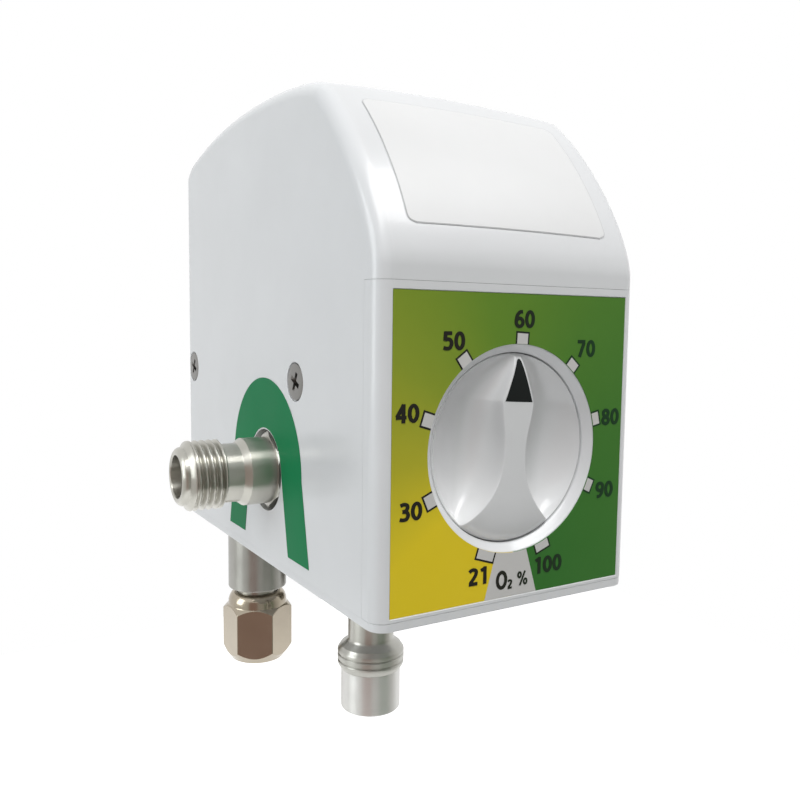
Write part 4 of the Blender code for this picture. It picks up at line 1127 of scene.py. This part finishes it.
# Camera
YAW = math.radians(30.77)
PITCH = math.radians(5.18)
ROLL = math.radians(-0.70)
FOCAL_PX = 811.3
FRAME_PX = 800.0
SENSOR = 36.0
CAMERA_AT = (-91.39, -112.65, 50.68)
camera_data = bpy.data.cameras.new("camera")
camera_data.sensor_width = SENSOR
camera_data.lens = SENSOR * FOCAL_PX / FRAME_PX
camera_data.clip_start = 0.01
camera = placed("camera", camera_data)
camera.matrix_world = (Matrix.Translation(at(*CAMERA_AT)) @ Matrix.Rotation(-YAW, 4, "Z")
                       @ Matrix.Rotation(math.pi / 2 - PITCH, 4, "X")
                       @ Matrix.Rotation(-ROLL, 4, "Z"))
bpy.context.scene.camera = camera


# Stage
PLAIN_WHITE = (1.0, 1.0, 1.0, 1.0)


def looked_at(tree):
    """1 for rays that look at a thing, straight or in a mirror or glass, else 0."""
    path = node(tree, "ShaderNodeLightPath")
    seen = path.outputs["Is Camera Ray"]
    for kind in ("Glossy", "Transmission"):
        either = node(tree, "ShaderNodeMath", operation="MAXIMUM", Value=seen)
        tree.links.new(path.outputs[f"Is {kind} Ray"], either.inputs[1])
        seen = either.outputs[0]
    return seen


def stage_material():
    """Pale floor: lit as it stands and lifted to plain white, more so away from the middle."""
    material, tree, out = blank_material("stage_pale")
    away = node(tree, "ShaderNodeVectorMath", operation="LENGTH", Vector=own_place(tree))
    lift = node(tree, "ShaderNodeMath", operation="MULTIPLY",
                Value=spread(tree, away.outputs["Value"], 0.76, 1.0, 0.42, 0.75))
    tree.links.new(looked_at(tree), lift.inputs[1])
    glow = node(tree, "ShaderNodeEmission", Color=PLAIN_WHITE, Strength=lift.outputs[0])
    matte = node(tree, "ShaderNodeBsdfDiffuse", Color=(0.82, 0.82, 0.82, 1.0))
    both = node(tree, "ShaderNodeAddShader")
    tree.links.new(matte.outputs[0], both.inputs[0])
    tree.links.new(glow.outputs[0], both.inputs[1])
    feed(tree, out, Surface=both.outputs[0])
    return material


FLOOR_DROP = 0.30
FLOOR_HALF = 0.8
floor_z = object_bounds()[0][2] - FLOOR_DROP
mesh = bpy.data.meshes.new("floor")
mesh.from_pydata([(x, y, floor_z) for x, y in rectangle(-FLOOR_HALF, FLOOR_HALF,
                                                        -FLOOR_HALF, FLOOR_HALF)],
                 [], [[0, 1, 2, 3]])
mesh.materials.append(stage_material())
placed("floor", mesh)


def painted_reflection_bowl():
    """The glowing bowl in front of the object, which only bright, shiny surfaces show: painted
    reflections of a room.

    Its tone follows the direction seen from above: dim where the camera stands and
    to its right, paler in between and towards the sides.
    """
    rings = [(0.45, floor_z + 0.01), (0.70, floor_z + 0.17), (1.0, floor_z + 0.37), (1.1, 0.56)]
    middle = math.atan2(camera.location.y, camera.location.x)
    steps = 40
    corners = []
    for radius, z in rings:
        for k in range(steps + 1):
            a = middle + math.radians(-100 + 200 * k / steps)
            corners.append((radius * math.cos(a), radius * math.sin(a), z))
    mesh = bpy.data.meshes.new("painted_reflection_bowl")
    mesh.from_pydata(corners, [], grid_faces(len(rings) - 1, steps))
    dim, tree, out = blank_material("painted_reflection_tones")
    spin = node(tree, "ShaderNodeMapping", Vector=own_place(tree), Rotation=(0.0, 0.0, -middle))
    around = node(tree, "ShaderNodeTexGradient", gradient_type="RADIAL", Vector=spin.outputs[0])
    # Brown and green here are painted reflections in the metal and gloss, not light on anything.
    brown, green = (0.40, 0.285, 0.25), (0.27, 0.31, 0.25)
    pale, white = (0.50, 0.49, 0.46), (0.92, 0.92, 0.90)
    stops = [(-98, white), (-50, (0.80, 0.80, 0.78)), (-35, (0.66, 0.65, 0.62)), (-29, brown),
             (-3, brown), (4, pale), (21, pale), (28, green), (60, green), (70, pale), (98, white)]
    tones = ramp(tree, around.outputs["Fac"],
                 [(0.5 + degrees / 360, colour) for degrees, colour in stops])
    feed(tree, out, Surface=node(tree, "ShaderNodeEmission", Color=tones).outputs[0])
    mesh.materials.append(dim)
    thing = placed("painted_reflection_bowl", mesh)
    for rays in ("camera", "diffuse", "shadow", "transmission"):
        setattr(thing, "visible_" + rays, False)


painted_reflection_bowl()


def soft_light(name, where, aim, size, power, mirrored=True, colour=(1, 1, 1)):
    light = bpy.data.lights.new(name, "AREA")
    light.shape = "RECTANGLE"
    light.size, light.size_y = size
    light.energy = power
    light.color = colour
    holder = placed(name, light)
    holder.location = where
    holder.visible_glossy = mirrored
    holder.rotation_euler = (Vector(aim) - Vector(where)).to_track_quat("-Z", "Y").to_euler()


soft_light("overhead", (0.05, -0.42, 0.66), (0, -0.06, 0), (0.95, 0.30), 4.9)
soft_light("left", (-0.8, 0.05, 0.20), (0, -0.05, 0), (0.4, 0.6), 2.4, colour=(0.93, 0.98, 1.0))
soft_light("corner", (-0.50, -0.64, 0.34), (0, -0.06, 0), (0.3, 0.3), 0.85, False)

world = bpy.data.worlds.new("studio")
world.use_nodes = True
bpy.context.scene.world = world
tree = world.node_tree
FILL = 0.17
fill = feed(tree, tree.nodes["Background"], Color=PLAIN_WHITE, Strength=FILL)
white = node(tree, "ShaderNodeBackground", Color=PLAIN_WHITE, Strength=1.0)
mix = node(tree, "ShaderNodeMixShader")
tree.links.new(looked_at(tree), mix.inputs[0])
tree.links.new(fill.outputs[0], mix.inputs[1])
tree.links.new(white.outputs[0], mix.inputs[2])
feed(tree, tree.nodes["World Output"], Surface=mix.outputs[0])
bpy.context.scene.view_settings.view_transform = "Standard"
